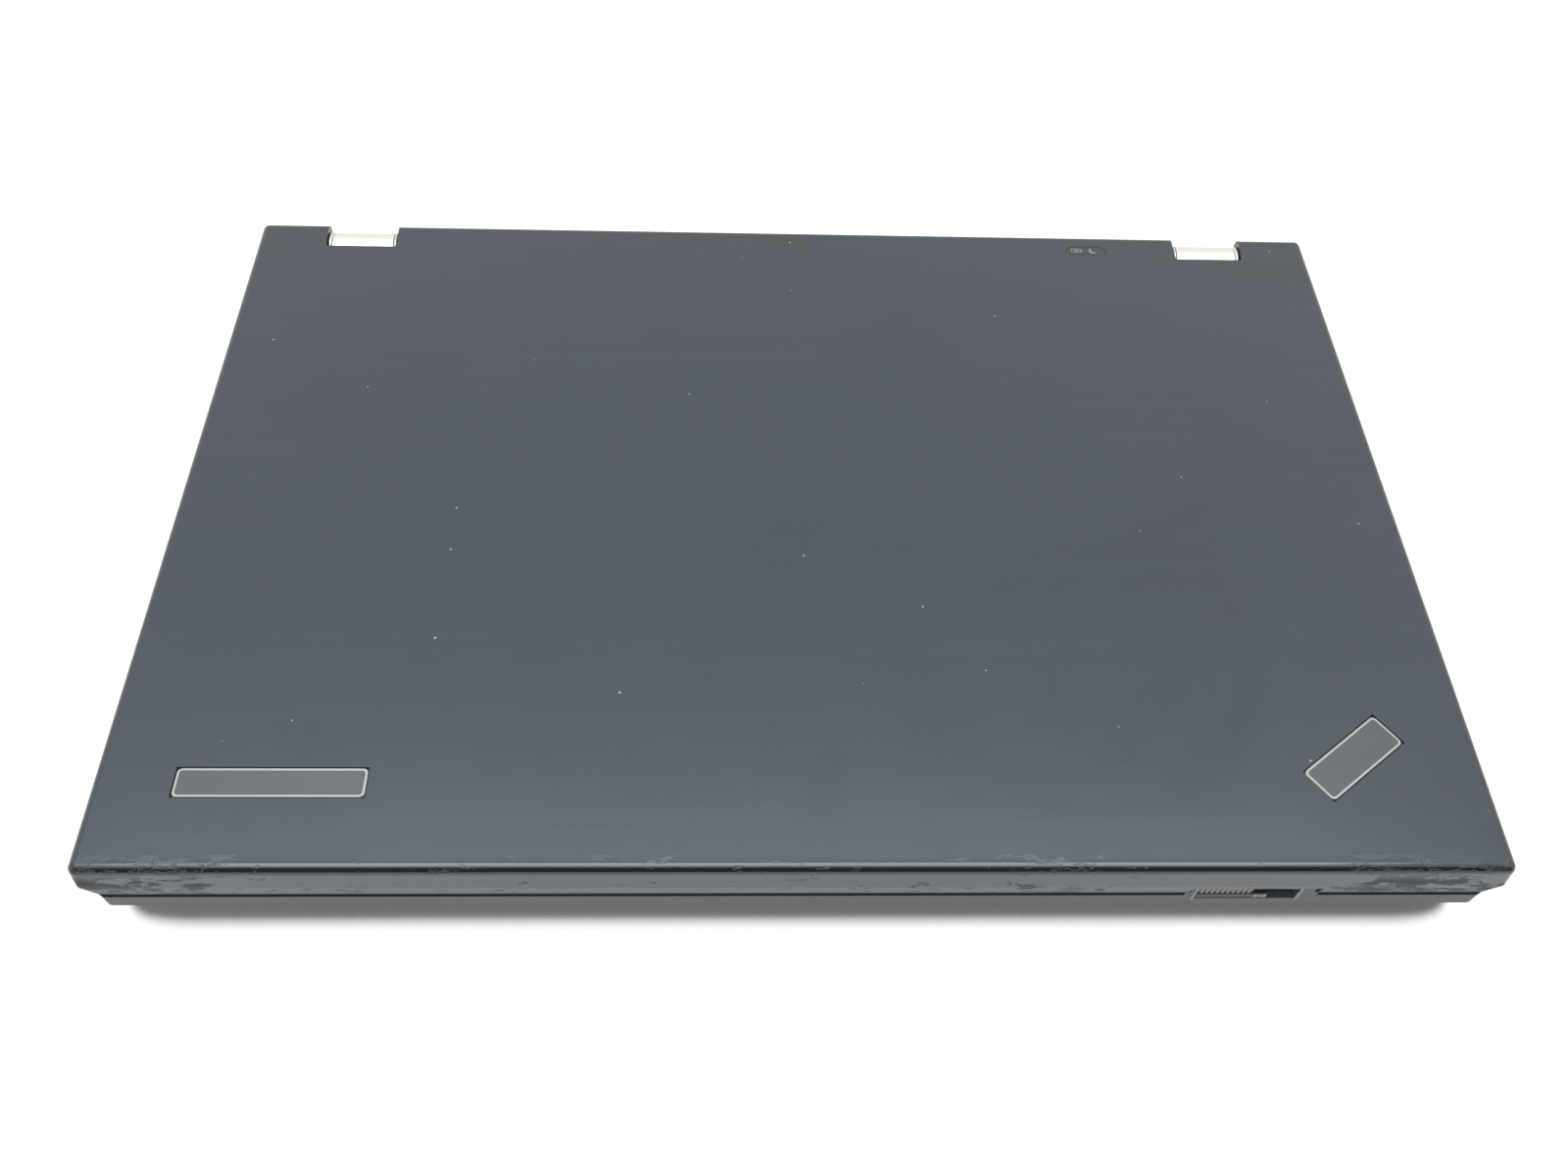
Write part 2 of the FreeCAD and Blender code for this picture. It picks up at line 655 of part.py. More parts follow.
def lid_bezel():
    form = slab("lid_bezel_form", about("0", f"{HALF_W} - bezel_taper"),
                (f"bezel_taper - {HALF_D}", f"{BEZEL_REAR} - bezel_taper"), (LID_BOTTOM, SEAM),
                "lid_round", "atan(bezel_taper / bezel_height)")
    hollow = lid_hollow("lid_bezel", "(bezel_taper + bezel_wall)", "(bezel_taper + bezel_wall)",
                        (BEZEL_TOP, f"{SEAM} + cut_margin"))
    opening = block("lid_bezel_opening", about("0", f"{PANEL_X} - screen_side_border"),
                    (f"{PANEL_FRONT} + screen_front_border", f"{PANEL_REAR} - screen_rear_border"),
                    (f"{LID_BOTTOM} - cut_margin", f"{BEZEL_TOP} + cut_margin"))
    lens_hole = rod("lid_bezel_lens_hole", "z", "camera_lens + inlay_clear",
                    ("0", f"{PANEL_FRONT} - camera_gap - camera_depth / 2", f"{LID_BOTTOM} - cut_margin"),
                    "bezel_thick + 2 * cut_margin")
    cuts = [hollow, opening, lens_hole, block("lid_bezel_latch_notch", *latch_notch())]
    for index, (x, y) in enumerate(boss_points()):
        cuts.append(rod(f"lid_bezel_screw_hole_{index}", "z", "screw_radius + screw_fit",
                        (x, y, LID_BOTTOM), "bezel_height + cut_margin"))
        cuts.append(rod(f"lid_bezel_head_seat_{index}", "z", "screw_head + screw_fit",
                        (x, y, f"{LID_BOTTOM} - cut_margin"), "screw_sink + cut_margin"))
    return carved("lid_bezel", form, cuts + lid_hinge_cuts("lid_bezel", LID_BOTTOM, SEAM))


def lcd_panel():
    return block("lcd_panel", about("0", PANEL_X), (PANEL_FRONT, PANEL_REAR),
                 (BEZEL_TOP, f"{BEZEL_TOP} + panel_thick"))


def lcd_glass():
    return block("lcd_glass", about("0", f"{PANEL_X} - screen_side_border - glass_clear"),
                 (f"{PANEL_FRONT} + screen_front_border + glass_clear",
                  f"{PANEL_REAR} - screen_rear_border - glass_clear"),
                 (f"{BEZEL_TOP} - glass_thick", BEZEL_TOP))


def camera_module():
    y = (f"{PANEL_FRONT} - camera_gap - camera_depth", f"{PANEL_FRONT} - camera_gap")
    board = block("camera_module_board", about("0", "camera_width / 2"), y,
                  (BEZEL_TOP, f"{BEZEL_TOP} + camera_height"))
    lens = rod("camera_module_lens", "z", "camera_lens",
               ("0", f"{PANEL_FRONT} - camera_gap - camera_depth / 2", f"{LID_BOTTOM} + inlay_sink"),
               "bezel_thick")
    return joined("camera_module", [board, lens])


def lid_inlays():
    z = (f"{LID_TOP} - inlay_depth", f"{LID_TOP} - inlay_sink")
    window, plate, tag = inlays("lid_inlay", "0", z)
    window.Label = "status_window"
    return [window, group("badge_plates", [plate, tag])]


def hinge_arms():
    arms = []
    for side in (-1, 1):
        tag = f"hinge_arm_{len(arms)}"
        z = about(HINGE_Z, "arm_eye")
        eye = eye_span(side)
        reach = (f"{PANEL_REAR} + arm_clear", f"{PANEL_REAR} + arm_clear + arm_rail")
        rail = sided(side, f"{PANEL_X} + arm_clear", f"{PANEL_X} + arm_clear + arm_rail")
        across = (eye[0], rail[1]) if side > 0 else (rail[0], eye[1])
        solid = joined(f"{tag}_bar", [
            block(f"{tag}_eye", eye, (reach[0], f"{HINGE_Y} + arm_eye"), z),
            block(f"{tag}_across", across, reach, z),
            block(f"{tag}_rail", rail, (f"{PANEL_REAR} - arm_length", reach[1]), z)])
        bore = rod(f"{tag}_bore", "x", "pin_radius + pin_run", (f"({eye[0]}) - cut_margin", HINGE_Y, HINGE_Z),
                   "arm_thick + 2 * cut_margin")
        arms.append(carved(tag, solid, [bore]))
    return group("hinge_arms", arms)


def pin_span(side):
    eye_outer = f"({HINGE_X} + notch_width / 2 + notch_wall + arm_clear + arm_thick)"
    return sided(side, f"({HINGE_X} - tower_width / 2 + pin_end)", eye_outer)


def hinge_pins():
    pins = []
    for side in (-1, 1):
        x = pin_span(side)
        pins.append(rod(f"hinge_pin_{len(pins)}", "x", "pin_radius", (x[0], HINGE_Y, HINGE_Z),
                        f"({x[1]}) - ({x[0]})"))
    return group("hinge_pins", pins)


def hinge_towers():
    towers = []
    for side in (-1, 1):
        tag = f"hinge_tower_{len(towers)}"
        x = sided(side, *about(HINGE_X, "tower_width / 2"))
        stem = (f"{HINGE_Y} - stem_front", f"{HINGE_Y} + stem_rear")
        solid = joined(f"{tag}_form", [
            rod(f"{tag}_barrel", "x", "barrel_radius", (x[0], HINGE_Y, HINGE_Z), "tower_width"),
            block(f"{tag}_stem", x, stem, (f"{DECK_UNDER} - tower_foot", HINGE_Z)),
            block(f"{tag}_foot", grown(x, "tower_ledge"), (f"{stem[0]} - tower_ledge", stem[1]),
                  (f"{DECK_UNDER} - tower_foot", DECK_UNDER))])
        pin = grown(pin_span(side), "button_clear")
        bore = rod(f"{tag}_bore", "x", "pin_radius + pin_run", (pin[0], HINGE_Y, HINGE_Z),
                   f"({pin[1]}) - ({pin[0]})")
        towers.append(carved(tag, solid, [bore]))
    return group("hinge_towers", towers)


def latch_hooks():
    hooks = []
    y = f"({BASE_FRONT} + hook_from_front)"
    for side in (-1, 1):
        tag = f"latch_hook_{len(hooks)}"
        x = about(f"{side} * {HOOK_X}", "hook_width / 2")
        low = f"({LID_BOTTOM} - hook_drop)"
        hooks.append(joined(tag, [
            block(f"{tag}_stem", x, (y, f"{y} + hook_thick"), (low, LID_BOTTOM)),
            block(f"{tag}_barb", x, (f"{y} - hook_barb", y), (low, f"{low} + hook_barb"))]))
    return group("latch_hooks", hooks)


def lid_bumpers():
    pads = []
    for side in (-1, 1):
        for y in (f"bumper_front - {HALF_D}", f"{PANEL_REAR} + bumper_rear"):
            pads.append(block(f"lid_bumper_{len(pads)}",
                              about(f"{side} * ({HALF_W} - bumper_side)", "bumper_length / 2"),
                              about(y, "bumper_width / 2"), (f"{DECK_TOP} + bumper_gap", LID_BOTTOM)))
    return group("lid_bumpers", pads)


def screw(name, x, y, head_z):
    """A flat-headed screw pointing up, its head's outer face at head_z."""
    return joined(name, [
        rod(f"{name}_head", "z", "screw_head", (x, y, head_z), "screw_head_thick"),
        rod(f"{name}_shank", "z", "screw_radius", (x, y, head_z), "screw_length")])


def bezel_screws():
    head = f"{LID_BOTTOM} + screw_sink - screw_head_thick"
    return group("bezel_screws", [screw(f"bezel_screw_{index}", x, y, head)
                                  for index, (x, y) in enumerate(boss_points())])


def post_points():
    front = f"({BASE_FRONT} + post_front_room)"
    rear = f"({BASE_REAR} - post_rear_room)"
    rear_x = f"({HINGE_X} - post_from_hinge)"
    return [("-post_front_x", front), ("post_front_x", front), (f"-{rear_x}", rear), (rear_x, rear)]


def base_screws():
    head = "foot_height + screw_sink - screw_head_thick"
    return group("base_screws", [screw(f"base_screw_{index}", x, y, head)
                                 for index, (x, y) in enumerate(post_points())])


def deck_hole(name, x, y, clear):
    through = (f"{DECK_UNDER} - cut_margin", f"{DECK_TOP} + cut_margin")
    return block(name, grown(x, clear), grown(y, clear), through)


def grille_spans(side):
    x = sided(side, f"{KEYS_X} + grille_key_room", f"{BASE_X} - grille_margin")
    y = (f"{KEYS_FRONT} + grille_margin", f"{KEYS_REAR} - grille_rear_room")
    return x, y


def latch_slot(clear):
    """The slot in the front of the base that the lid latch slides in."""
    x = (f"{LATCH_X} + {clear}", f"{LATCH_X} + latch_slot_width - {clear}")
    y = (f"{BASE_FRONT} - cut_margin", f"{BASE_FRONT} + latch_slot_depth - {clear}")
    z = (f"{LATCH_SLOT_TOP} - latch_slot_height + {clear}", f"{LATCH_SLOT_TOP} - {clear}")
    return x, y, z


def palm_rest():
    form = slab("palm_rest_form", about("0", BASE_X), (BASE_FRONT, BASE_REAR), (LIP, DECK_TOP), "base_corner")
    under = block("palm_rest_under", about("0", f"{BASE_X} + cut_margin"),
                  (f"{BASE_FRONT} + skirt_wall", f"{BASE_REAR} + cut_margin"),
                  (f"{LIP} - cut_margin", DECK_UNDER))
    housing = block("palm_rest_latch_housing", LATCH_HOUSING,
                    (BASE_FRONT, f"{BASE_FRONT} + latch_housing_depth"),
                    (DECK_UNDER, f"{DECK_TOP} + latch_housing_rise"))
    posts = [rod(f"palm_rest_post_{index}", "z", "post_radius", (x, y, FLOOR_TOP),
                 f"{DECK_UNDER} - {FLOOR_TOP}")
             for index, (x, y) in enumerate(post_points())]
    cuts = [
        deck_hole("palm_rest_key_well", about("0", KEYS_X), (KEYS_FRONT, KEYS_REAR), "well_clear"),
        deck_hole("palm_rest_stick_buttons", PAD_X, STICK_BUTTONS, "button_clear"),
        deck_hole("palm_rest_pad", PAD_X, PAD, "button_clear"),
        deck_hole("palm_rest_pad_buttons", PAD_X, PAD_BUTTONS, "button_clear"),
        rod("palm_rest_power_hole", "z", "power_radius + button_clear",
            (POWER_X, POWER_Y, f"{DECK_UNDER} - cut_margin"), "deck_thick + 2 * cut_margin"),
        block("palm_rest_latch_slot", *latch_slot("0")),
    ]
    for index in range(3):
        cuts.append(deck_hole(f"palm_rest_sound_{index}", sound_span(index), SOUND_BUTTONS, "button_clear"))
    for side in (-1, 1):
        tag = "left" if side < 0 else "right"
        x, y = grille_spans(side)
        cuts.append(block(f"palm_rest_grille_{tag}", grown(x, "grille_clear"), grown(y, "grille_clear"),
                          (f"{DECK_TOP} - grille_thick - grille_clear", f"{DECK_TOP} + cut_margin")))
        cuts.append(deck_hole(f"palm_rest_tower_{tag}", sided(side, *about(HINGE_X, "tower_width / 2")),
                              (f"{HINGE_Y} - stem_front", f"{HINGE_Y} + stem_rear"), "stem_clear"))
        hook_y = f"({BASE_FRONT} + hook_from_front)"
        cuts.append(deck_hole(f"palm_rest_hook_{tag}", about(f"{side} * {HOOK_X}", "hook_width / 2"),
                              (f"{hook_y} - hook_barb", f"{hook_y} + hook_thick"), "hook_clear"))
    for index, (x, y) in enumerate(post_points()):
        cuts.append(rod(f"palm_rest_pilot_{index}", "z", "screw_radius + screw_fit",
                        (x, y, f"{FLOOR_TOP} - cut_margin"), "screw_length"))
    shell = joined("palm_rest_shell", [carved("palm_rest_deck", form, [under]), housing, *posts])
    return carved("palm_rest", shell, cuts)


def board_spans():
    """The main board's four stretches: middle, arm to the left ports, strip and rear tail."""
    left = f"(inside_gap - {INSIDE_X})"
    strip = (f"-{BATTERY_X} - battery_clear - bay_rib - board_strip_gap - board_strip",
             f"-{BATTERY_X} - battery_clear - bay_rib - board_strip_gap")
    tail = (f"{BATTERY_FRONT} + deck_rib", f"{BATTERY_FRONT} + deck_rib + board_tail_depth")
    return [
        ((BOARD_LEFT, BOARD_RIGHT), (BOARD_FRONT, BOARD_REAR)),
        ((left, BOARD_LEFT), BOARD_ARM),
        (strip, (BOARD_ARM[0], tail[1])),
        ((left, strip[1]), tail),
    ]


def standoff_points():
    middle, arm, strip, tail = board_spans()
    points = []
    for x in (f"{middle[0][0]} + standoff_inset", f"{middle[0][1]} - standoff_inset"):
        for y in (f"{middle[1][0]} + standoff_inset", f"{middle[1][1]} - standoff_inset"):
            points.append((x, y))
    for x, y in (arm, tail):
        points.append((f"({x[0]}) + standoff_side", f"({y[0]}) + standoff_inset"))
    return points


def mainboard():
    z = (BOARD_UNDER, BOARD_TOP)
    return joined("mainboard", [block(f"mainboard_part_{index}", x, y, z)
                                for index, (x, y) in enumerate(board_spans())])


def right_place(share):
    """A place on the right wall, as a share of the way from the optical drive to the rear."""
    rear = f"({OPTICAL_FRONT} + optical_depth)"
    return f"({rear} + {share} * ({BASE_REAR} - {rear}))"


def usb_places():
    """Side, middle along the wall and underside of each USB socket."""
    tail_middle = f"({BATTERY_FRONT} + deck_rib + board_tail_depth / 2)"
    return [(-1, f"{tail_middle} - usb_pitch / 2", BOARD_TOP),
            (-1, f"{tail_middle} + usb_pitch / 2", BOARD_TOP),
            (1, right_place("usb_right_share"), FLOOR_TOP)]


def socket_span(side, length):
    """From the outer side face of the base inwards."""
    return sided(side, f"{BASE_X} - {length}", BASE_X)


def video_spans():
    y = about(f"({DRIVE_REAR} + {FAN_FRONT}) / 2", "video_width / 2")
    return socket_span(-1, "video_length"), y, (BOARD_TOP, f"{BOARD_TOP} + video_height")


def network_spans():
    x = about(f"socket_from_hinge - {HINGE_X}", "network_width / 2")
    y = (f"{BASE_REAR} - network_length", BASE_REAR)
    return x, y, (FLOOR_TOP, f"{FLOOR_TOP} + network_height")


def inlet_spans():
    x = about(f"{HINGE_X} - socket_from_hinge", "inlet_width / 2")
    y = (f"{BASE_REAR} - inlet_length", BASE_REAR)
    return x, y, (FLOOR_TOP, f"{FLOOR_TOP} + inlet_width")


def audio_spans():
    y = about(right_place("audio_share"), "audio_width / 2")
    return socket_span(1, "audio_length"), y, (FLOOR_TOP, f"{FLOOR_TOP} + audio_width")


def drive_spans():
    x = (f"inside_gap - {INSIDE_X}", f"inside_gap - {INSIDE_X} + drive_length")
    y = (f"{BASE_FRONT} + drive_from_front", DRIVE_REAR)
    return x, y, (f"{FLOOR_TOP} + drive_lift", f"{FLOOR_TOP} + drive_lift + drive_height")


def optical_spans():
    x = (f"{BASE_X} - base_wall - optical_width", f"{BASE_X} - base_wall")
    y = (OPTICAL_FRONT, f"{OPTICAL_FRONT} + optical_depth")
    return x, y, (OPTICAL_UNDER, f"{OPTICAL_UNDER} + optical_height")


def battery_spans():
    z = ("foot_height + battery_rise", "foot_height + battery_rise + battery_height")
    return about("0", BATTERY_X), (BATTERY_FRONT, BASE_REAR), z


def latch_slider_spans(side):
    """A battery latch at rest, towards the middle end of its slot."""
    y_high = f"({BATTERY_FRONT} - battery_clear - bay_rib - battery_latch_room + battery_latch_width / 2)"
    x = sided(side, *about("battery_latch_x", "battery_latch_length / 2"))
    return x, (f"{y_high} - battery_latch_width", y_high)


def switch_spans():
    z = about(f"{FLOOR_TOP} + board_lift + switch_height", "switch_height / 2")
    return about(right_place("switch_share"), "switch_knob / 2"), z


def port_cuts():
    """Openings of the side and rear walls round every socket, slot and switch."""
    cuts = []
    for side, y, low in usb_places():
        cuts.append(block(f"base_usb_{len(cuts)}", grown(socket_span(side, "base_wall"), "cut_margin"),
                          grown(about(y, "usb_width / 2"), "port_clear"),
                          grown((low, f"{low} + usb_height"), "port_clear")))
    x, y, z = video_spans()
    cuts.append(block("base_video", grown(socket_span(-1, "base_wall"), "cut_margin"),
                      grown(y, "port_clear"), grown(z, "port_clear")))
    x, y, z = audio_spans()
    cuts.append(block("base_audio", grown(socket_span(1, "base_wall"), "cut_margin"),
                      grown(y, "port_clear"), (z[0], f"{z[1]} + port_clear")))
    rear_wall = (INSIDE_REAR + " - cut_margin", BASE_REAR + " + cut_margin")
    for name, (x, y, z) in (("base_network", network_spans()), ("base_inlet", inlet_spans())):
        cuts.append(block(name, grown(x, "port_clear"), rear_wall, (z[0], f"{z[1]} + port_clear")))
    cuts.append(block("base_lock_slot", grown(socket_span(1, "base_wall"), "cut_margin"),
                      about(right_place("lock_share"), "lock_width / 2"),
                      about(f"{FLOOR_TOP} + board_lift + lock_height", "lock_height / 2")))
    y, z = switch_spans()
    cuts.append(block("base_switch_slot", grown(socket_span(1, "base_wall"), "cut_margin"),
                      (f"{y[0]} - button_clear", f"{y[1]} + switch_travel + button_clear"),
                      grown(z, "button_clear")))
    return cuts


def vent_cuts():
    cuts = []
    pitch = "(fan_size / vent_count)"
    for index in range(SIZES["vent_count"]):
        low = f"({FAN_FRONT} + {index} * {pitch})"
        cuts.append(block(f"base_vent_{index}", grown(socket_span(-1, "base_wall"), "cut_margin"),
                          (low, f"{low} + vent_share * {pitch}"),
                          (f"{FLOOR_TOP} + fan_wall", f"{FLOOR_TOP} + fan_wall + vent_height")))
    pitch = "(2 * fan_inlet / intake_count)"
    for index in range(SIZES["intake_count"]):
        low = f"({FAN_Y} - fan_inlet + {index} * {pitch})"
        cuts.append(block(f"base_intake_{index}", about(FAN_X, "fan_inlet"),
                          (low, f"{low} + intake_share * {pitch}"),
                          ("foot_height - cut_margin", f"{FLOOR_TOP} + cut_margin")))
    return cuts


def base_cover():
    form = slab("base_cover_form", about("0", BASE_X), (BASE_FRONT, BASE_REAR), ("foot_height", DECK_UNDER),
                "base_corner")
    space = block("base_cover_space", about("0", INSIDE_X),
                  (f"{BASE_FRONT} + skirt_wall + seam_gap", INSIDE_REAR),
                  (FLOOR_TOP, f"{DECK_UNDER} + cut_margin"))
    bay = grown(battery_spans()[0], "battery_clear")
    bay_y = f"({BATTERY_FRONT} - battery_clear)"
    bay_top = battery_spans()[2][1]
    rib_z = (FLOOR_TOP, bay_top)
    rib_y = (bay_y, INSIDE_REAR)
    kept = [
        slope_block("base_cover_slope_inside", "slope_wall"),
        block("base_cover_bay_front", grown(bay, "bay_rib"), (f"{bay_y} - bay_rib", bay_y), rib_z),
        block("base_cover_bay_left", (f"{bay[0]} - bay_rib", bay[0]), rib_y, rib_z),
        block("base_cover_bay_right", (bay[1], f"{bay[1]} + bay_rib"), rib_y, rib_z),
    ]
    for x, y in standoff_points():
        kept.append(rod(f"base_cover_standoff_{len(kept)}", "z", "standoff_radius", (x, y, FLOOR_TOP),
                        "board_lift"))
    hollow = carved("base_cover_hollow", space, kept)
    skirt = block("base_cover_skirt_room", about("0", f"{BASE_X} + cut_margin"),
                  (f"{BASE_FRONT} - cut_margin", f"{BASE_FRONT} + skirt_wall + seam_gap"),
                  (LIP, f"{DECK_UNDER} + cut_margin"))
    floor = ("foot_height - cut_margin", f"{FLOOR_TOP} + cut_margin")
    optical_x, optical_y, optical_z = optical_spans()
    drive_x, drive_y, drive_z = drive_spans()
    cuts = [
        hollow, skirt, slope_block("base_cover_slope", "0"),
        block("base_cover_battery_bay", bay, (bay_y, f"{BASE_REAR} + cut_margin"),
              (floor[0], f"{bay_top} + battery_clear")),
        block("base_cover_optical_bay", (f"{optical_x[0]} - port_clear", f"{BASE_X} + cut_margin"),
              grown(optical_y, "port_clear"), (floor[0], f"{optical_z[1]} + port_clear")),
        block("base_cover_door_hole", (f"{drive_x[0]} + door_margin", f"{drive_x[1]} - door_margin"),
              (f"{drive_y[0]} + door_margin", f"{drive_y[1]} - door_margin"), floor),
    ]
    for side in (-1, 1):
        x, y = latch_slider_spans(side)
        cuts.append(block(f"base_cover_latch_slot_{side + 1}",
                          (f"{x[0]} - button_clear", f"{x[1]} + battery_latch_travel + button_clear"),
                          grown(y, "button_clear"), floor))
    for index, (x, y) in enumerate(post_points()):
        cuts.append(rod(f"base_cover_screw_hole_{index}", "z", "screw_radius + screw_fit",
                        (x, y, "foot_height"), "floor_thick + cut_margin"))
        cuts.append(rod(f"base_cover_head_seat_{index}", "z", "screw_head + screw_fit",
                        (x, y, "foot_height - cut_margin"), "screw_sink + cut_margin"))
    return carved("base_cover", form, cuts + port_cuts() + vent_cuts())


def keyboard_tray():
    x = about("0", f"{KEYS_X} + tray_margin")
    y = grown((KEYS_FRONT, KEYS_REAR), "tray_margin")
    outside = block("keyboard_tray_outside", x, y, (f"{TRAY_TOP} - tray_thick", DECK_UNDER))
    inside = block("keyboard_tray_inside", grown(x, "-tray_wall"), grown(y, "-tray_wall"),
                   (TRAY_TOP, f"{DECK_UNDER} + cut_margin"))
    return carved("keyboard_tray", outside, [inside])


def key_cap(name, x, y):
    """One key, narrower at its top than at its skirt."""
    cap = doc.addObject("Part::Wedge", name)
    place(cap, FreeCAD.Rotation(FreeCAD.Vector(1, 0, 0), 90), ("0", "0", "0"))
    sides = {"Xmin": x[0], "Xmax": x[1], "Ymin": KEY_UNDER, "Ymax": KEY_TOP,
             "Zmin": f"-({y[1]})", "Zmax": f"-({y[0]})"}
    sides["X2min"] = f"{x[0]} + key_slope"
    sides["X2max"] = f"{x[1]} - key_slope"
    sides["Z2min"] = f"key_slope - ({y[1]})"
    sides["Z2max"] = f"-({y[0]}) - key_slope"
    for path, formula in sides.items():
        bind(cap, path, formula)
    return cap


def key_row(row, widths):
    depth = "small_key_depth" if row == len(KEY_ROWS) - 1 else KEY_DEEP
    low = f"({KEYS_FRONT} + {row} * {KEY_DEEP})"
    y = (f"({low} + key_gap / 2)", f"({low} + {depth} - key_gap / 2)")
    left = -ROW_UNITS / 2
    caps = []
    for width in widths:
        x = (f"({left} * {KEY_WIDE} + key_gap / 2)", f"({left + width} * {KEY_WIDE} - key_gap / 2)")
        caps.append(key_cap(f"key_{row}_{len(caps)}", x, y))
        left += width
    name = f"key_row_{row + 1}"
    if row not in (STICK_ROW - 1, STICK_ROW):
        return group(name, caps)
    hole = rod(f"{name}_stick_hole", "z", "stick_radius + stick_clear",
               (STICK_X, STICK_Y, f"{KEY_UNDER} - cut_margin"), "key_height + 2 * cut_margin")
    return carved(name, group(f"{name}_caps", caps), [hole])


def pointer_stick():
    top = f"({DECK_TOP} + stick_rise)"
    return joined("pointer_stick", [
        rod("pointer_stick_stem", "z", "stick_stem", (STICK_X, STICK_Y, TRAY_TOP), f"{top} - {TRAY_TOP}"),
        rod("pointer_stick_cap", "z", "stick_radius", (STICK_X, STICK_Y, f"{top} - stick_cap"), "stick_cap")])


def deck_button(name, x, y):
    """A button through the deck, held from below by ledges at its front and rear."""
    seat = f"({DECK_UNDER} - flange_gap)"
    low = f"({seat} - flange_thick)"
    return joined(name, [
        block(f"{name}_cap", x, y, (low, f"{DECK_TOP} - button_sink")),
        block(f"{name}_flange", x, grown(y, "button_clear + flange_ledge"), (low, seat))])


def stick_buttons():
    left, right = PAD_X
    middle = about(STICK_X, "middle_button / 2")
    return [deck_button("stick_button_left", (left, f"{middle[0]} - button_between"), STICK_BUTTONS),
            deck_button("stick_button_middle", middle, STICK_BUTTONS),
            deck_button("stick_button_right", (f"{middle[1]} + button_between", right), STICK_BUTTONS)]


def pad_buttons():
    left, right = PAD_X
    middle = about(STICK_X, "button_between / 2")
    return [deck_button("pad_button_left", (left, middle[0]), PAD_BUTTONS),
            deck_button("pad_button_right", (middle[1], right), PAD_BUTTONS)]


def sound_span(index):
    return about(f"sound_from_end - {KEYS_X} + {index - 1} * sound_button_pitch", "sound_button / 2")


def sound_buttons():
    names = ("mute_button", "volume_down_button", "volume_up_button")
    return [deck_button(name, sound_span(index), SOUND_BUTTONS) for index, name in enumerate(names)]


def power_button():
    low = f"({DECK_UNDER} - flange_gap - flange_thick)"
    at = (POWER_X, POWER_Y, low)
    return joined("power_button", [
        rod("power_button_cap", "z", "power_radius", at, f"{DECK_TOP} - button_sink - {low}"),
        rod("power_button_flange", "z", "power_radius + button_clear + flange_ledge", at, "flange_thick")])


def touchpad():
    top = f"({DECK_TOP} - pad_sink)"
    return joined("touchpad", [
        block("touchpad_plate", PAD_X, PAD, (f"{top} - pad_thick", top)),
        block("touchpad_ledge", grown(PAD_X, "pad_ledge"),
              grown(PAD, "deck_rib - button_clear - flange_ledge - button_sink"),
              (f"{DECK_UNDER} - pad_thick", DECK_UNDER))])


def speaker_grilles():
    plates = []
    for side in (-1, 1):
        x, y = grille_spans(side)
        plates.append(block(f"speaker_grille_{len(plates)}", x, y,
                            (f"{DECK_TOP} - grille_thick - grille_clear", f"{DECK_TOP} - grille_clear")))
    return group("speaker_grilles", plates)


def speakers():
    """Two boxes hung under the grilles, behind the monitor socket."""
    boxes = []
    front = f"({video_spans()[1][1]} + speaker_from_port)"
    for side in (-1, 1):
        boxes.append(block(f"speaker_{len(boxes)}", grown(grille_spans(side)[0], "-grille_thick"),
                           (front, f"{front} + speaker_depth"),
                           (f"{DECK_UNDER} - speaker_height", DECK_UNDER)))
    return group("speakers", boxes)


def latch_slider():
    x, y, z = latch_slot("latch_clear")
    thumb = (x[0], f"{x[0]} + latch_thumb")
    ledge = (x[0], f"{x[0]} + latch_thumb + latch_ledge")
    return joined("latch_slider", [
        block("latch_slider_thumb", thumb, (BASE_FRONT, y[1]), z),
        block("latch_slider_ledge", ledge, (BASE_FRONT, y[1]), (z[0], f"{z[0]} + latch_ledge_height"))])


def processor():
    return block("processor", about(PROCESSOR_X, "processor_size / 2"),
                 about(PROCESSOR_Y, "processor_size / 2"), (BOARD_TOP, SPREADER_UNDER))


def heat_sink():
    plate_x = about(PROCESSOR_X, "processor_size / 2 + spreader_margin")
    plate_y = (f"{PROCESSOR_Y} - processor_size / 2 - spreader_margin", PIPE[1])
    z = (SPREADER_UNDER, f"{SPREADER_UNDER} + spreader_thick")
    fins_x = (f"inside_gap - {INSIDE_X}", f"inside_gap + fin_depth - {INSIDE_X}")
    fins_y = (FAN_FRONT, PIPE[1])
    fins = block("heat_sink_fins", fins_x, fins_y, (f"{FLOOR_TOP} + button_clear", z[1]))
    pitch = f"(({fins_y[1]} - {fins_y[0]} - pipe_width - pipe_gap) / fin_count)"
    gaps = []
    for index in range(SIZES["fin_count"]):
        low = f"({fins_y[0]} + ({index} + fin_share) * {pitch})"
        gaps.append(block(f"heat_sink_gap_{index}", grown(fins_x, "cut_margin"),
                          (low, f"{low} + fin_share * {pitch}"),
                          (f"{FLOOR_TOP} + fan_wall", f"{z[0]}")))
    return joined("heat_sink", [
        block("heat_sink_plate", plate_x, plate_y, z),
        block("heat_sink_pipe", (fins_x[0], plate_x[1]), PIPE, z),
        carved("heat_sink_stack", fins, gaps)])


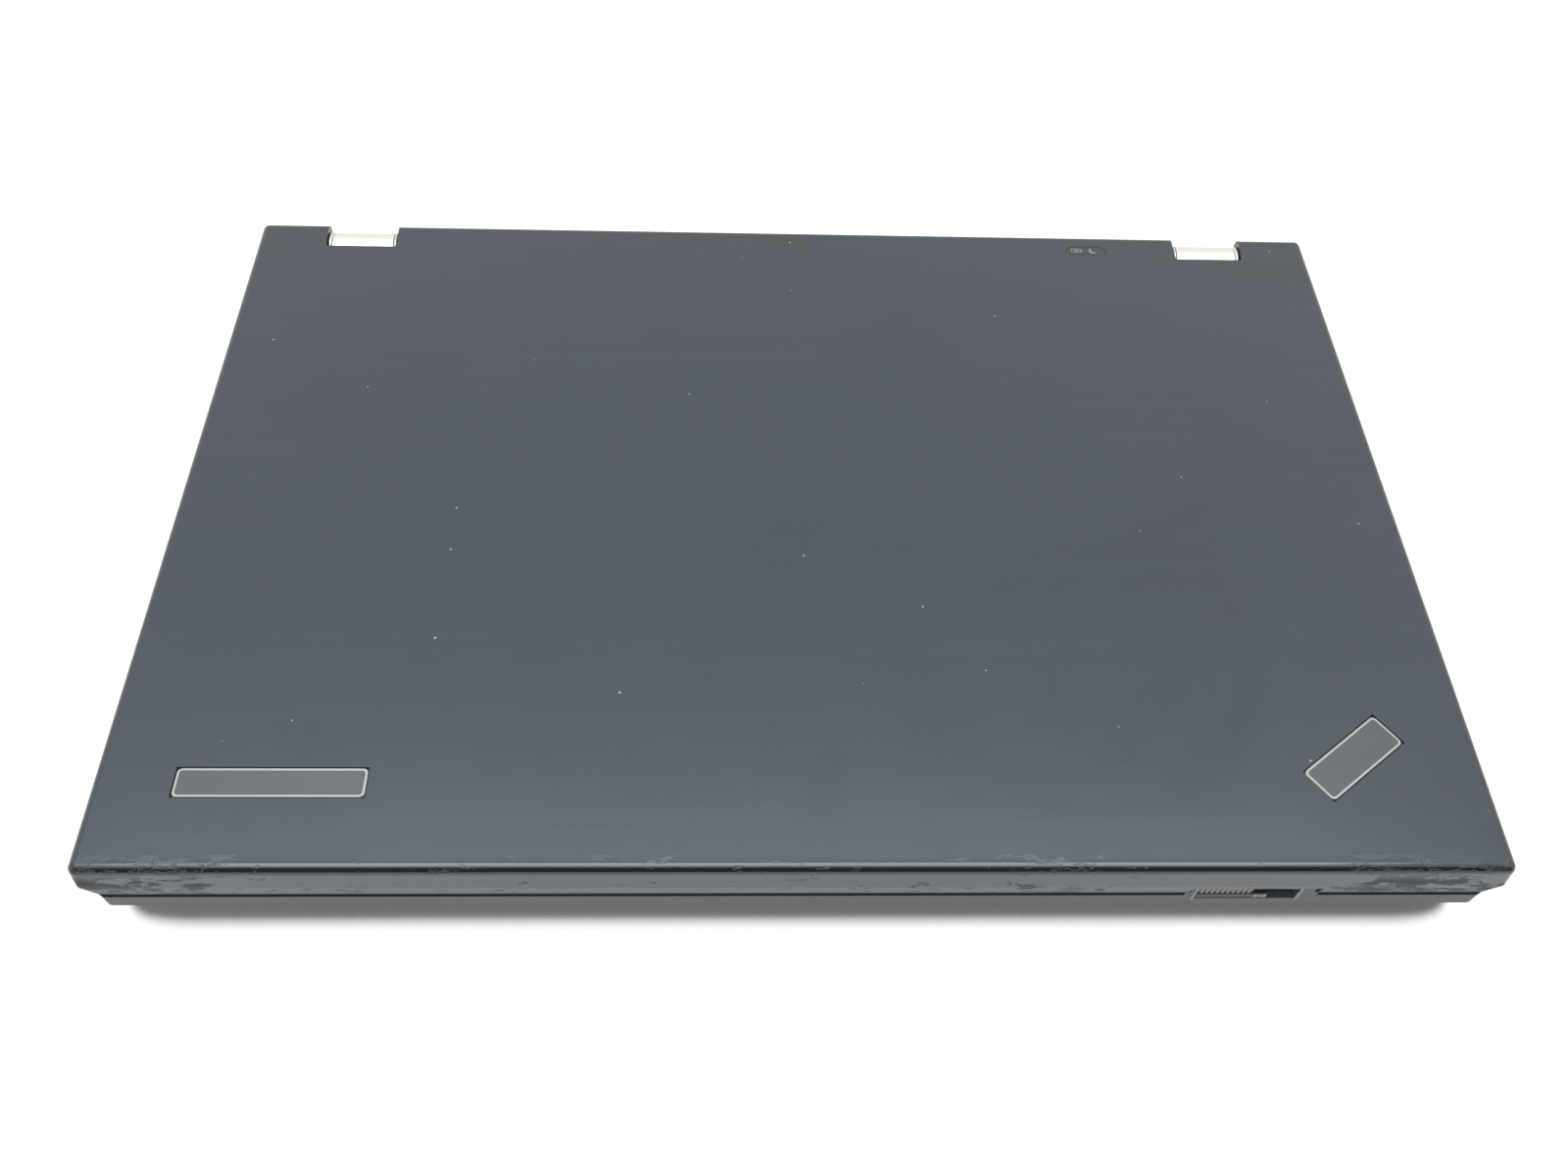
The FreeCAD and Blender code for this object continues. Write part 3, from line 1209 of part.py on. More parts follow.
def fan_housing():
    x = (FAN_LEFT, f"{FAN_LEFT} + fan_size")
    top = f"({FLOOR_TOP} + fan_height)"
    outside = block("fan_housing_outside", x, (FAN_FRONT, FAN_REAR), (FLOOR_TOP, top))
    whirl = rod("fan_housing_whirl", "z", "fan_size / 2 - fan_wall", (FAN_X, FAN_Y, FAN_FLOOR),
                "fan_height - 2 * fan_wall")
    inlet = rod("fan_housing_inlet", "z", "fan_inlet", (FAN_X, FAN_Y, FLOOR_TOP + " - cut_margin"),
                "fan_height + 2 * cut_margin")
    outlet = block("fan_housing_outlet", (f"{FAN_LEFT} - cut_margin", FAN_X),
                   about(FAN_Y, "fan_size / 2 - 2 * fan_wall"), (FAN_FLOOR, f"{top} - fan_wall"))
    spokes = block("fan_housing_spoke", x, about(FAN_Y, "fan_shaft"), (FLOOR_TOP, FAN_FLOOR))
    shaft = rod("fan_housing_shaft", "z", "fan_shaft", (FAN_X, FAN_Y, FLOOR_TOP), "fan_height - fan_wall")
    return joined("fan_housing", [carved("fan_housing_case", outside, [whirl, inlet, outlet]), spokes, shaft])


def fan_rotor():
    low = f"({FAN_FLOOR} + fan_clear / 2)"
    height = "(fan_height - 2 * fan_wall - fan_clear)"
    reach = "(fan_size / 2 - fan_wall - fan_clear)"
    pieces = [rod("fan_rotor_hub", "z", "fan_hub", (FAN_X, FAN_Y, low), height)]
    for index in range(SIZES["blade_count"]):
        blade = doc.addObject("Part::Box", f"fan_rotor_blade_{index}")
        bind(blade, "Length", reach)
        bind(blade, "Width", "blade_thick")
        bind(blade, "Height", height)
        place(blade, FreeCAD.Rotation(), (FAN_X, FAN_Y, low))
        bind(blade, "Placement.Rotation.Angle", f"{index} * 360 / blade_count")
        pieces.append(blade)
    bore = rod("fan_rotor_bore", "z", "fan_shaft + fan_run", (FAN_X, FAN_Y, f"{low} - cut_margin"),
               f"{height} + 2 * cut_margin")
    return carved("fan_rotor", joined("fan_rotor_wheel", pieces), [bore])


def memory_modules():
    x = (f"{BOARD_LEFT} + standoff_inset", f"{BOARD_LEFT} + standoff_inset + memory_length")
    sticks = []
    for index in range(2):
        low = f"({BOARD_TOP} + {index} * (memory_thick + memory_gap))"
        sticks.append(block(f"memory_module_{index}", x, MEMORY, (low, f"{low} + memory_thick")))
    return group("memory_modules", sticks)


def wireless_card():
    x = (f"{BOARD_RIGHT} - standoff_inset - card_width", f"{BOARD_RIGHT} - standoff_inset")
    y = (f"{MEMORY[1]} + card_gap", f"{MEMORY[1]} + card_gap + card_depth")
    return block("wireless_card", x, y, (BOARD_TOP, f"{BOARD_TOP} + card_thick"))


def storage_drive():
    return block("storage_drive", *drive_spans())


def access_door():
    x, y, z = drive_spans()
    inset = "-(door_margin + door_clear)"
    return block("access_door", grown(x, inset), grown(y, inset), ("foot_height", FLOOR_TOP))


def optical_drive_case():
    x, y, z = optical_spans()
    outside = block("optical_case_outside", (x[0], f"{x[1]} - port_clear"), y, z)
    inside = block("optical_case_inside", (f"{x[0]} + optical_wall", f"{x[1]} + cut_margin"),
                   grown(y, "-optical_wall"), grown(z, "-optical_wall"))
    return carved("optical_drive_case", outside, [inside])


def tray_spans():
    """The optical tray's plate inside its case."""
    x, y, z = optical_spans()
    inset = "-(optical_wall + tray_clear)"
    low = f"({z[0]} + optical_wall + tray_clear)"
    return (f"{x[0]} + optical_wall + tray_clear", x[1]), grown(y, inset), (low, f"{low} + tray_plate")


def disc_centre():
    x, y, z = tray_spans()
    return f"(({x[1]}) - disc_radius - tray_clear)", f"((({y[0]}) + ({y[1]})) / 2)"


def eject_spans():
    x, y, z = optical_spans()
    centre = f"(({y[0]}) + eject_from_front)"
    return about(centre, "eject_length / 2"), about(f"({z[0]} + optical_height / 2)", "eject_height / 2")


def optical_tray():
    x, y, z = optical_spans()
    plate_x, plate_y, plate_z = tray_spans()
    centre_x, centre_y = disc_centre()
    plate = block("optical_tray_plate", plate_x, plate_y, plate_z)
    front = block("optical_tray_front", (x[1], BASE_X), y, z)
    well = rod("optical_tray_well", "z", "disc_radius", (centre_x, centre_y, f"{plate_z[1]} - disc_sink"),
               "disc_sink + cut_margin")
    spindle = rod("optical_tray_spindle", "z", "disc_hub_bore", (centre_x, centre_y, plate_z[0]),
                  "tray_plate - disc_sink + disc_hub_rise")
    eject_y, eject_z = eject_spans()
    eject = block("optical_tray_eject_hole", (f"{x[1]} - cut_margin", f"{BASE_X} + cut_margin"),
                  grown(eject_y, "button_clear"), grown(eject_z, "button_clear"))
    room = "flange_ledge + button_clear"
    slot = block("optical_tray_eject_room", (f"{x[1]} - eject_room", x[1]), grown(eject_y, room),
                 grown(eject_z, room))
    return joined("optical_tray", [carved("optical_tray_form", joined("optical_tray_blank", [plate, front]),
                                          [well, eject, slot]), spindle])


def disc_hub():
    centre_x, centre_y = disc_centre()
    low = f"({tray_spans()[2][1]} - disc_sink + button_clear)"
    hub = rod("disc_hub_disc", "z", "disc_hub_radius", (centre_x, centre_y, low), "disc_hub_rise")
    bore = rod("disc_hub_bore_cut", "z", "disc_hub_bore + fan_run",
               (centre_x, centre_y, f"{low} - cut_margin"), "disc_hub_rise + 2 * cut_margin")
    return carved("disc_hub", hub, [bore])


def eject_button():
    x = optical_spans()[0]
    y, z = eject_spans()
    return joined("eject_button", [
        block("eject_button_cap", (f"{x[1]} - button_clear - flange_thick", BASE_X), y, z),
        block("eject_button_flange", (f"{x[1]} - button_clear - flange_thick", f"{x[1]} - button_clear"),
              grown(y, "flange_ledge"), z)])


def battery():
    return block("battery", *battery_spans())


def battery_latch(side):
    name = f"battery_latch_{'left' if side < 0 else 'right'}"
    x, y = latch_slider_spans(side)
    low = f"({FLOOR_TOP} + battery_clear / 2)"
    return joined(name, [
        block(f"{name}_thumb", x, y, ("foot_height + button_sink", f"{low} + battery_latch_plate")),
        block(f"{name}_plate", x, grown(y, "flange_ledge"), (low, f"{low} + battery_latch_plate"))])


def wireless_switch():
    y, z = switch_spans()
    inner = f"({INSIDE_X} - button_clear)"
    return joined("wireless_switch", [
        block("wireless_switch_knob", (f"{inner} - switch_plate", f"{BASE_X} + switch_proud"), y, z),
        block("wireless_switch_plate", (f"{inner} - switch_plate", inner),
              grown(y, "flange_ledge"), grown(z, "flange_ledge"))])


def usb_ports():
    shells = []
    for side, y, low in usb_places():
        tag = f"usb_port_{len(shells)}"
        x = socket_span(side, "usb_length")
        shell = block(f"{tag}_shell", x, about(y, "usb_width / 2"), (low, f"{low} + usb_height"))
        mouth_x = (f"{x[0]} + usb_shell", f"{x[1]} + cut_margin") if side > 0 else (f"{x[0]} - cut_margin",
                                                                                  f"{x[1]} - usb_shell")
        mouth = block(f"{tag}_mouth", mouth_x, about(y, "usb_width / 2 - usb_shell"),
                      (f"{low} + usb_shell", f"{low} + usb_height - usb_shell"))
        shells.append(carved(tag, shell, [mouth]))
    return group("usb_ports", shells)


def display_port():
    x, y, z = video_spans()
    middle_y = f"(({y[0]}) + ({y[1]})) / 2"
    middle_z = f"(({z[0]}) + ({z[1]})) / 2"
    mouth = block("display_port_mouth", (f"{x[0]} - cut_margin", f"{x[0]} + video_sink"),
                  about(middle_y, "video_shell / 2"), about(middle_z, "video_shell_height / 2"))
    return carved("display_port", block("display_port_shell", x, y, z), [mouth])


def network_port():
    x, y, z = network_spans()
    mouth = block("network_port_mouth", grown(x, "-network_shell"),
                  (f"{y[0]} + network_shell", f"{y[1]} + cut_margin"), grown(z, "-network_shell"))
    return carved("network_port", block("network_port_shell", x, y, z), [mouth])


def power_inlet():
    x, y, z = inlet_spans()
    centre = f"(({x[0]}) + ({x[1]})) / 2"
    level = f"(({z[0]}) + ({z[1]})) / 2"
    shell = block("power_inlet_shell", x, y, z)
    bore = rod("power_inlet_bore", "y", "inlet_bore", (centre, f"{y[1]} - inlet_sink", level),
               "inlet_sink + cut_margin")
    pin = rod("power_inlet_pin", "y", "inlet_pin", (centre, y[0], level), "inlet_length - cut_margin")
    return joined("power_inlet", [carved("power_inlet_form", shell, [bore]), pin])


def audio_jack():
    x, y, z = audio_spans()
    mouth = (f"{x[1]} - audio_sink", right_place("audio_share"), f"{FLOOR_TOP} + audio_width / 2")
    bore = rod("audio_jack_bore", "x", "audio_bore", mouth, "audio_sink + cut_margin")
    return carved("audio_jack", block("audio_jack_shell", x, y, z), [bore])


def rubber_feet():
    feet = []
    for side in (-1, 1):
        x = about(f"{side} * ({BASE_X} - foot_side_room - foot_length / 2)", "foot_length / 2")
        for y in (f"{BASE_FRONT} + foot_front_room", f"{BASE_REAR} - foot_rear_room"):
            feet.append(block(f"rubber_foot_{len(feet)}", x, about(y, "foot_width / 2"),
                              ("0", "foot_height")))
    return group("rubber_feet", feet)


pieces = [
    lid_cover(), lid_bezel(), lcd_panel(), lcd_glass(), camera_module(), *lid_inlays(),
    hinge_arms(), hinge_pins(), latch_hooks(), lid_bumpers(), bezel_screws(),
    base_cover(), palm_rest(), hinge_towers(), keyboard_tray(), pointer_stick(), touchpad(),
    speaker_grilles(), speakers(), mainboard(), processor(), heat_sink(), fan_housing(),
    memory_modules(), wireless_card(), storage_drive(), access_door(), optical_drive_case(),
    usb_ports(), display_port(), network_port(), power_inlet(), audio_jack(), base_screws(), rubber_feet(),
    *[key_row(row, widths) for row, widths in enumerate(KEY_ROWS)],
    *stick_buttons(), *pad_buttons(), *sound_buttons(), power_button(), latch_slider(),
    fan_rotor(), battery(), battery_latch(-1), battery_latch(1), wireless_switch(),
    optical_tray(), disc_hub(), eject_button(),
]
doc.recompute()

for obj in doc.Objects:
    if "Invalid" in obj.State or "Error" in obj.State:
        raise RuntimeError(f"{obj.Label} failed: {obj.State}")
for piece in pieces:
    if piece.Shape.isNull() or not piece.Shape.isValid() or not piece.Shape.Solids:
        raise RuntimeError(f"{piece.Label} has no valid solid")

os.makedirs("parts", exist_ok=True)
for piece in pieces:
    piece.Shape.exportStep(os.path.join("parts", f"{piece.Label}.step"))
print(len(pieces), "pieces written")
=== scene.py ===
import math

import bmesh
import bpy
from mathutils import Matrix, Vector


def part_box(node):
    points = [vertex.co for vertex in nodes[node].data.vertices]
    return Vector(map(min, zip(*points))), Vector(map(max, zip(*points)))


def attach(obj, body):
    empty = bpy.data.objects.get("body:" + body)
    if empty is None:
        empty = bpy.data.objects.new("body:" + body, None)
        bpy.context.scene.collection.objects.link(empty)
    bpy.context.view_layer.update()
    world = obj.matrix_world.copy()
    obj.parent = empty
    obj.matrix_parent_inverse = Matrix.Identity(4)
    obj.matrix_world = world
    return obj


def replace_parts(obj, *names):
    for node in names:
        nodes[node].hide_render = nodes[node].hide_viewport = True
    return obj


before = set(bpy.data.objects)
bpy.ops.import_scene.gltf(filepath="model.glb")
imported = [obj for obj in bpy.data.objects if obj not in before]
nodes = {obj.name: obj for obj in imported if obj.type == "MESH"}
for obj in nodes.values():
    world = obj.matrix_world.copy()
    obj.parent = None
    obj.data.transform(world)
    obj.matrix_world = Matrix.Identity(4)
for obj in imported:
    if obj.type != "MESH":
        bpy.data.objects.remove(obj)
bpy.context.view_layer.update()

# A closed business laptop, dark soft-touch lid upwards, as seen from the front and above.
# Metres, in the frame of the solids: +X right, +Y to the hinges, +Z up.

scene = bpy.context.scene
MM = 0.001


def mm(*values):
    """Millimetres as metres: one number, or several as a tuple."""
    metres = tuple(value * MM for value in values)
    return metres if len(metres) > 1 else metres[0]


def box_middle(name):
    low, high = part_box(name)
    return (low + high) / 2


def link_object(name, data):
    piece = bpy.data.objects.new(name, data)
    scene.collection.objects.link(piece)
    return piece


# Nodes of shader and geometry trees

def add_node(tree, kind, inputs=None, **settings):
    """A shader or geometry node, its inputs given as values or as sockets to link."""
    node = tree.nodes.new(kind)
    for key, value in settings.items():
        setattr(node, key, value)
    for key, value in (inputs or {}).items():
        if isinstance(value, bpy.types.NodeSocket):
            tree.links.new(value, node.inputs[key])
        else:
            node.inputs[key].default_value = value
    return node


def shading(tree, kind, inputs=None, **settings):
    """The first output of a new shader node."""
    return add_node(tree, f"ShaderNode{kind}", inputs, **settings).outputs[0]


def shaping(tree, kind, inputs=None, **settings):
    """The first output of a new geometry node."""
    return add_node(tree, f"GeometryNode{kind}", inputs, **settings).outputs[0]


def arith(tree, operation, first, second=0.0, clamp=False):
    return shading(tree, "Math", {0: first, 1: second}, operation=operation, use_clamp=clamp)


def plus(tree, first, second, clamp=False):
    return arith(tree, "ADD", first, second, clamp)


def minus(tree, first, second, clamp=False):
    return arith(tree, "SUBTRACT", first, second, clamp)


def times(tree, first, second, clamp=False):
    return arith(tree, "MULTIPLY", first, second, clamp)


def ramped(tree, value, low, high, bottom=0.0, top=1.0):
    """A value taken from one range to another and held at its ends."""
    return shading(tree, "MapRange", {"Value": value, "From Min": low, "From Max": high,
                                      "To Min": bottom, "To Max": top})


def new_material(name):
    material = bpy.data.materials.new(name)
    material.use_nodes = True
    material.node_tree.nodes.clear()
    return material


# Camera, floor and light

CAMERA_AT = Vector((-19.4, -259.0, 358.4)) * MM
CAMERA_PITCH = math.radians(54.77)
CAMERA_YAW = math.radians(3.78)
CAMERA_ROLL = math.radians(3.49)
CAMERA_LENS = 30.99
CAMERA_SENSOR = 36.0
NEAREST_SEEN = 0.01
WORLD_LIGHT = 0.52
WORLD_SEEN = 1.0
FLOOR_REACH = 3.0
FLOOR_TONE = 0.93
FLOOR_SEEN_DROP = 0.45
FLOOR_LIFT = 0.8
SHADOW_REACH = 0.02
SHADOW_RAMP = (0.46, 0.59)
LAMP_HEIGHT = 1.25
# Name, place, what it points at, size, watts, and whether gloss shows it
LAMPS = [
    ("overhead_lamp", (0.0, 0.12, LAMP_HEIGHT), (0.0, 0.12, 0.0), (1.5, 0.42), 8.0, True),
    ("front_lamp", (-0.7, -1.2, 0.8), (0.0, 0.0, 0.0), (1.2, 1.2), 6.0, False),
]
CARD_SIDE = 1.4
CARD_Y = -1.3
CARD_Z = (0.02, 1.75)
STRIP_SIDE = 0.7
STRIP_Y = (-0.5, -0.09)
STRIP_GLOW = 4.0


def set_camera():
    data = bpy.data.cameras.new("photo_camera")
    data.sensor_fit = "HORIZONTAL"
    data.sensor_width = CAMERA_SENSOR
    data.lens = CAMERA_LENS
    data.clip_start = NEAREST_SEEN
    flat = math.cos(CAMERA_PITCH)
    ahead = Vector((math.sin(CAMERA_YAW) * flat, math.cos(CAMERA_YAW) * flat, -math.sin(CAMERA_PITCH)))
    level = Vector((math.cos(CAMERA_YAW), -math.sin(CAMERA_YAW), 0.0))
    above = level.cross(ahead)
    right = math.cos(CAMERA_ROLL) * level + math.sin(CAMERA_ROLL) * above
    up = -math.sin(CAMERA_ROLL) * level + math.cos(CAMERA_ROLL) * above
    turn = Matrix((right, up, -ahead)).transposed().to_4x4()
    camera = link_object("photo_camera", data)
    camera.matrix_world = Matrix.Translation(CAMERA_AT) @ turn
    scene.camera = camera


def seen_directly(tree):
    """1 for rays from the camera, from gloss and through glass."""
    path = add_node(tree, "ShaderNodeLightPath").outputs
    seen = arith(tree, "MAXIMUM", path["Is Camera Ray"], path["Is Glossy Ray"])
    return arith(tree, "MAXIMUM", seen, path["Is Transmission Ray"])


def set_world():
    world = bpy.data.worlds.new("studio")
    scene.world = world
    world.use_nodes = True
    tree = world.node_tree
    tree.nodes.clear()
    strength = ramped(tree, seen_directly(tree), 0.0, 1.0, WORLD_LIGHT, WORLD_SEEN)
    glow = shading(tree, "Background", {"Color": (1.0, 1.0, 1.0, 1.0), "Strength": strength})
    add_node(tree, "ShaderNodeOutputWorld", {"Surface": glow})


def set_lights():
    """A soft lamp overhead, and a weaker one from the front left that leaves no gloss."""
    for name, at, target, size, power, in_gloss in LAMPS:
        data = bpy.data.lights.new(name, "AREA")
        data.shape = "RECTANGLE"
        data.size, data.size_y = size
        data.energy = power
        lamp = link_object(name, data)
        lamp.visible_glossy = in_gloss
        aim = (Vector(target) - Vector(at)).to_track_quat("-Z", "Y")
        lamp.matrix_world = Matrix.Translation(at) @ aim.to_matrix().to_4x4()


def stage_plane(name, corners, material, only_gloss=False):
    """A flat four-cornered stage piece, which only gloss sees where asked."""
    mesh = bpy.data.meshes.new(name)
    mesh.from_pydata(corners, [], [(0, 1, 2, 3)])
    mesh.materials.append(material)
    plane = link_object(name, mesh)
    if only_gloss:
        plane.visible_camera = False
        plane.visible_diffuse = False
        plane.visible_shadow = False


def set_floor():
    """A white floor that keeps the shadow."""
    material = new_material("white_floor")
    tree = material.node_tree
    seen = seen_directly(tree)
    tone = minus(tree, FLOOR_TONE, times(tree, seen, FLOOR_SEEN_DROP))
    paper = shading(tree, "BsdfDiffuse", {"Color": tone})
    sky = add_node(tree, "ShaderNodeAmbientOcclusion", {"Distance": SHADOW_REACH}, samples=48)
    clear = ramped(tree, sky.outputs["AO"], *SHADOW_RAMP, 0.0, FLOOR_LIFT)
    glow = shading(tree, "Emission", {"Strength": times(tree, seen, clear)})
    both = shading(tree, "AddShader", {0: paper, 1: glow})
    add_node(tree, "ShaderNodeOutputMaterial", {"Surface": both})
    reach = FLOOR_REACH
    corners = [(-reach, -reach, 0), (reach, -reach, 0), (reach, reach, 0), (-reach, reach, 0)]
    stage_plane("floor", corners, material)


def set_cards():
    """For the lid's front edge: a dark card low in front, and a bright strip ahead of the overhead lamp."""
    dark = [(-CARD_SIDE, CARD_Y, CARD_Z[0]), (CARD_SIDE, CARD_Y, CARD_Z[0]),
            (CARD_SIDE, CARD_Y, CARD_Z[1]), (-CARD_SIDE, CARD_Y, CARD_Z[1])]
    bright = [(-STRIP_SIDE, STRIP_Y[0], LAMP_HEIGHT), (-STRIP_SIDE, STRIP_Y[1], LAMP_HEIGHT),
              (STRIP_SIDE, STRIP_Y[1], LAMP_HEIGHT), (STRIP_SIDE, STRIP_Y[0], LAMP_HEIGHT)]
    for name, corners, glow in (("dark_card", dark, 0.0), ("bright_strip", bright, STRIP_GLOW)):
        material = new_material(name)
        tree = material.node_tree
        light = shading(tree, "Emission", {"Strength": glow})
        add_node(tree, "ShaderNodeOutputMaterial", {"Surface": light})
        stage_plane(name, corners, material, only_gloss=True)


scene.view_settings.view_transform = "Standard"
set_camera()
set_world()
set_lights()
set_floor()
set_cards()


# Effects that several finishes share

FLOAT = "NodeSocketFloat"
COLOR = "NodeSocketColor"
INTEGER = "NodeSocketInt"


def effect(name, inputs, outputs):
    """An empty shader group: its inputs with their usual values, and the names of its outputs."""
    tree = bpy.data.node_groups.new(name, "ShaderNodeTree")
    for label, value in inputs.items():
        kind = FLOAT if isinstance(value, float) else COLOR
        tree.interface.new_socket(label, in_out="INPUT", socket_type=kind).default_value = value
    for label in outputs:
        kind = COLOR if label == "Colour" else FLOAT
        tree.interface.new_socket(label, in_out="OUTPUT", socket_type=kind)
    return tree, tree.nodes.new("NodeGroupInput").outputs, tree.nodes.new("NodeGroupOutput").inputs


def object_coords(tree):
    return add_node(tree, "ShaderNodeTexCoord").outputs["Object"]


def stretched(tree, scale):
    return shading(tree, "Mapping", {"Vector": object_coords(tree), "Scale": scale})


def parts_of(tree, vector):
    """The X, Y and Z outputs of a vector."""
    return add_node(tree, "ShaderNodeSeparateXYZ", {0: vector}).outputs


def grain_effect():
    """Moulded grain: a mottled colour, an uneven roughness and a fine height."""
    tree, given, result = effect("moulded_grain", {
        "Colour": (0.1, 0.1, 0.1, 1.0), "Grain": 1500.0, "Mottle": 0.08, "Roughness": 0.5, "Spread": 0.12},
        ("Colour", "Roughness", "Height"))
    patch_scale = 34.0
    fine_share = 0.55
    coords = object_coords(tree)
    fine = shading(tree, "TexNoise", {"Vector": coords, "Scale": given["Grain"], "Detail": 2.0})
    broad = shading(tree, "TexNoise", {"Vector": coords, "Scale": patch_scale, "Detail": 4.0})
    mix = plus(tree, times(tree, fine, fine_share), times(tree, broad, 1.0 - fine_share))
    swing = times(tree, minus(tree, mix, 0.5), 2.0)
    level = plus(tree, 1.0, times(tree, swing, given["Mottle"]))
    tint = shading(tree, "VectorMath", {0: given["Colour"], 1: level}, operation="MULTIPLY")
    rough = plus(tree, given["Roughness"], times(tree, swing, given["Spread"]), clamp=True)
    for label, value in (("Colour", tint), ("Roughness", rough), ("Height", fine)):
        tree.links.new(value, result[label])
    return tree


def streak_effect():
    """Wipe marks or brush lines along X."""
    tree, given, result = effect("streaks", {"Along": 4.0, "Across": 420.0}, ["Mask"])
    size = shading(tree, "CombineXYZ", {0: given["Along"], 1: given["Across"], 2: given["Across"]})
    coords = shading(tree, "VectorMath", {0: object_coords(tree), 1: size}, operation="MULTIPLY")
    lines = shading(tree, "TexNoise", {"Vector": coords, "Scale": 1.0, "Detail": 3.0})
    tree.links.new(lines, result["Mask"])
    return tree


def smudge_effect():
    """Finger marks and cloudy patches left on a soft coat."""
    tree, given, result = effect("smudges", {"Size": 18.0, "Cover": 0.56}, ["Mask"])
    softness = 0.14
    patch = shading(tree, "TexNoise", {"Vector": object_coords(tree), "Scale": given["Size"],
                                       "Detail": 5.0, "Roughness": 0.62, "Distortion": 0.7})
    edge = plus(tree, given["Cover"], softness)
    tree.links.new(ramped(tree, patch, given["Cover"], edge), result["Mask"])
    return tree


def speck_effect():
    """Dust on level faces: small spots, each of its own size, in a few of the cells they fall in."""
    tree, given, result = effect("dust_specks", {"Cells": 60.0, "Share": 0.12, "Radius": 0.035}, ["Mask"])
    level_normal = 0.97
    smallest = 0.4
    cells = add_node(tree, "ShaderNodeTexVoronoi", voronoi_dimensions="2D")
    tree.links.new(object_coords(tree), cells.inputs["Vector"])
    tree.links.new(given["Cells"], cells.inputs["Scale"])
    normal = add_node(tree, "ShaderNodeNewGeometry").outputs["Normal"]
    level = arith(tree, "GREATER_THAN", parts_of(tree, normal)[2], level_normal)
    chance = add_node(tree, "ShaderNodeSeparateColor", {0: cells.outputs["Color"]}).outputs
    picked = arith(tree, "LESS_THAN", chance[0], given["Share"])
    radius = times(tree, given["Radius"], plus(tree, smallest, chance[1]))
    spot = arith(tree, "LESS_THAN", cells.outputs["Distance"], radius)
    tree.links.new(times(tree, level, times(tree, picked, spot)), result["Mask"])
    return tree


def edge_nearness(tree, given):
    """1 on an edge that runs in X at a given Y and Z, falling to 0 at its reach."""
    place = parts_of(tree, object_coords(tree))
    off_y = minus(tree, place[1], given["Edge Y"])
    off_z = minus(tree, place[2], given["Edge Z"])
    away = arith(tree, "SQRT", plus(tree, times(tree, off_y, off_y), times(tree, off_z, off_z)))
    return minus(tree, 1.0, arith(tree, "DIVIDE", away, given["Reach"]), clamp=True)


def scuff_effect():
    """Rubbed and chipped places along an edge that runs in X, most of them towards its ends."""
    tree, given, result = effect("edge_scuffs", {"Edge Y": 0.0, "Edge Z": 0.0, "Reach": 0.003,
                                                 "Cover": 0.55}, ["Mask"])
    chip_scale = (130.0, 300.0, 300.0)
    patch_scale = (24.0, 1.0, 1.0)
    patch_share = 0.3
    end_zone = (0.135, 0.165)
    end_bias = (-0.06, 0.10)
    softness = 0.05
    chips = shading(tree, "TexNoise", {"Vector": stretched(tree, chip_scale), "Scale": 1.0, "Detail": 5.0,
                                       "Roughness": 0.7})
    patches = shading(tree, "TexNoise", {"Vector": stretched(tree, patch_scale), "Scale": 1.0,
                                         "Detail": 2.0})
    along = arith(tree, "ABSOLUTE", parts_of(tree, object_coords(tree))[0])
    ends = ramped(tree, along, *end_zone, *end_bias)
    swing = times(tree, minus(tree, patches, 0.5), patch_share)
    amount = plus(tree, chips, plus(tree, swing, ends))
    worn = ramped(tree, amount, given["Cover"], plus(tree, given["Cover"], softness))
    tree.links.new(times(tree, edge_nearness(tree, given), worn), result["Mask"])
    return tree


def rim_effect():
    """A clean line along an edge that runs in X."""
    tree, given, result = effect("edge_line", {"Edge Y": 0.0, "Edge Z": 0.0, "Reach": 0.001}, ["Mask"])
    fullness = 1.6
    tree.links.new(times(tree, edge_nearness(tree, given), fullness, clamp=True), result["Mask"])
    return tree


GRAIN = grain_effect()
STREAKS = streak_effect()
SMUDGES = smudge_effect()
SPECKS = speck_effect()
SCUFFS = scuff_effect()
EDGE_LINE = rim_effect()


# Finishes

def use_effect(tree, group, inputs):
    node = add_node(tree, "ShaderNodeGroup", node_tree=group)
    for label, value in inputs.items():
        node.inputs[label].default_value = value
    return node.outputs


def mask_of(tree, group, inputs):
    return use_effect(tree, group, inputs)["Mask"]


def mixed(tree, mask, amount, first, second):
    """The second colour over the first by that amount, where the mask says."""
    node = add_node(tree, "ShaderNodeMix", data_type="RGBA")
    tree.links.new(times(tree, mask, amount), node.inputs["Factor"])
    tree.links.new(first, node.inputs[6])
    node.inputs[7].default_value = (*second, 1.0)
    return node.outputs[2]


def close_material(tree, colour, roughness, height, bump, depth, **constants):
    """The shader itself: varying sockets linked, constant ones set."""
    relief = shading(tree, "Bump", {"Height": height, "Strength": bump, "Distance": depth})
    shader = add_node(tree, "ShaderNodeBsdfPrincipled", {"Base Color": colour, "Roughness": roughness,
                                                         "Normal": relief})
    for label, value in constants.items():
        shader.inputs[label.replace("_", " ")].default_value = value
    add_node(tree, "ShaderNodeOutputMaterial", {"Surface": shader.outputs[0]})


DUST_GREY = (0.55, 0.56, 0.57)
DUST_COVER = 0.6


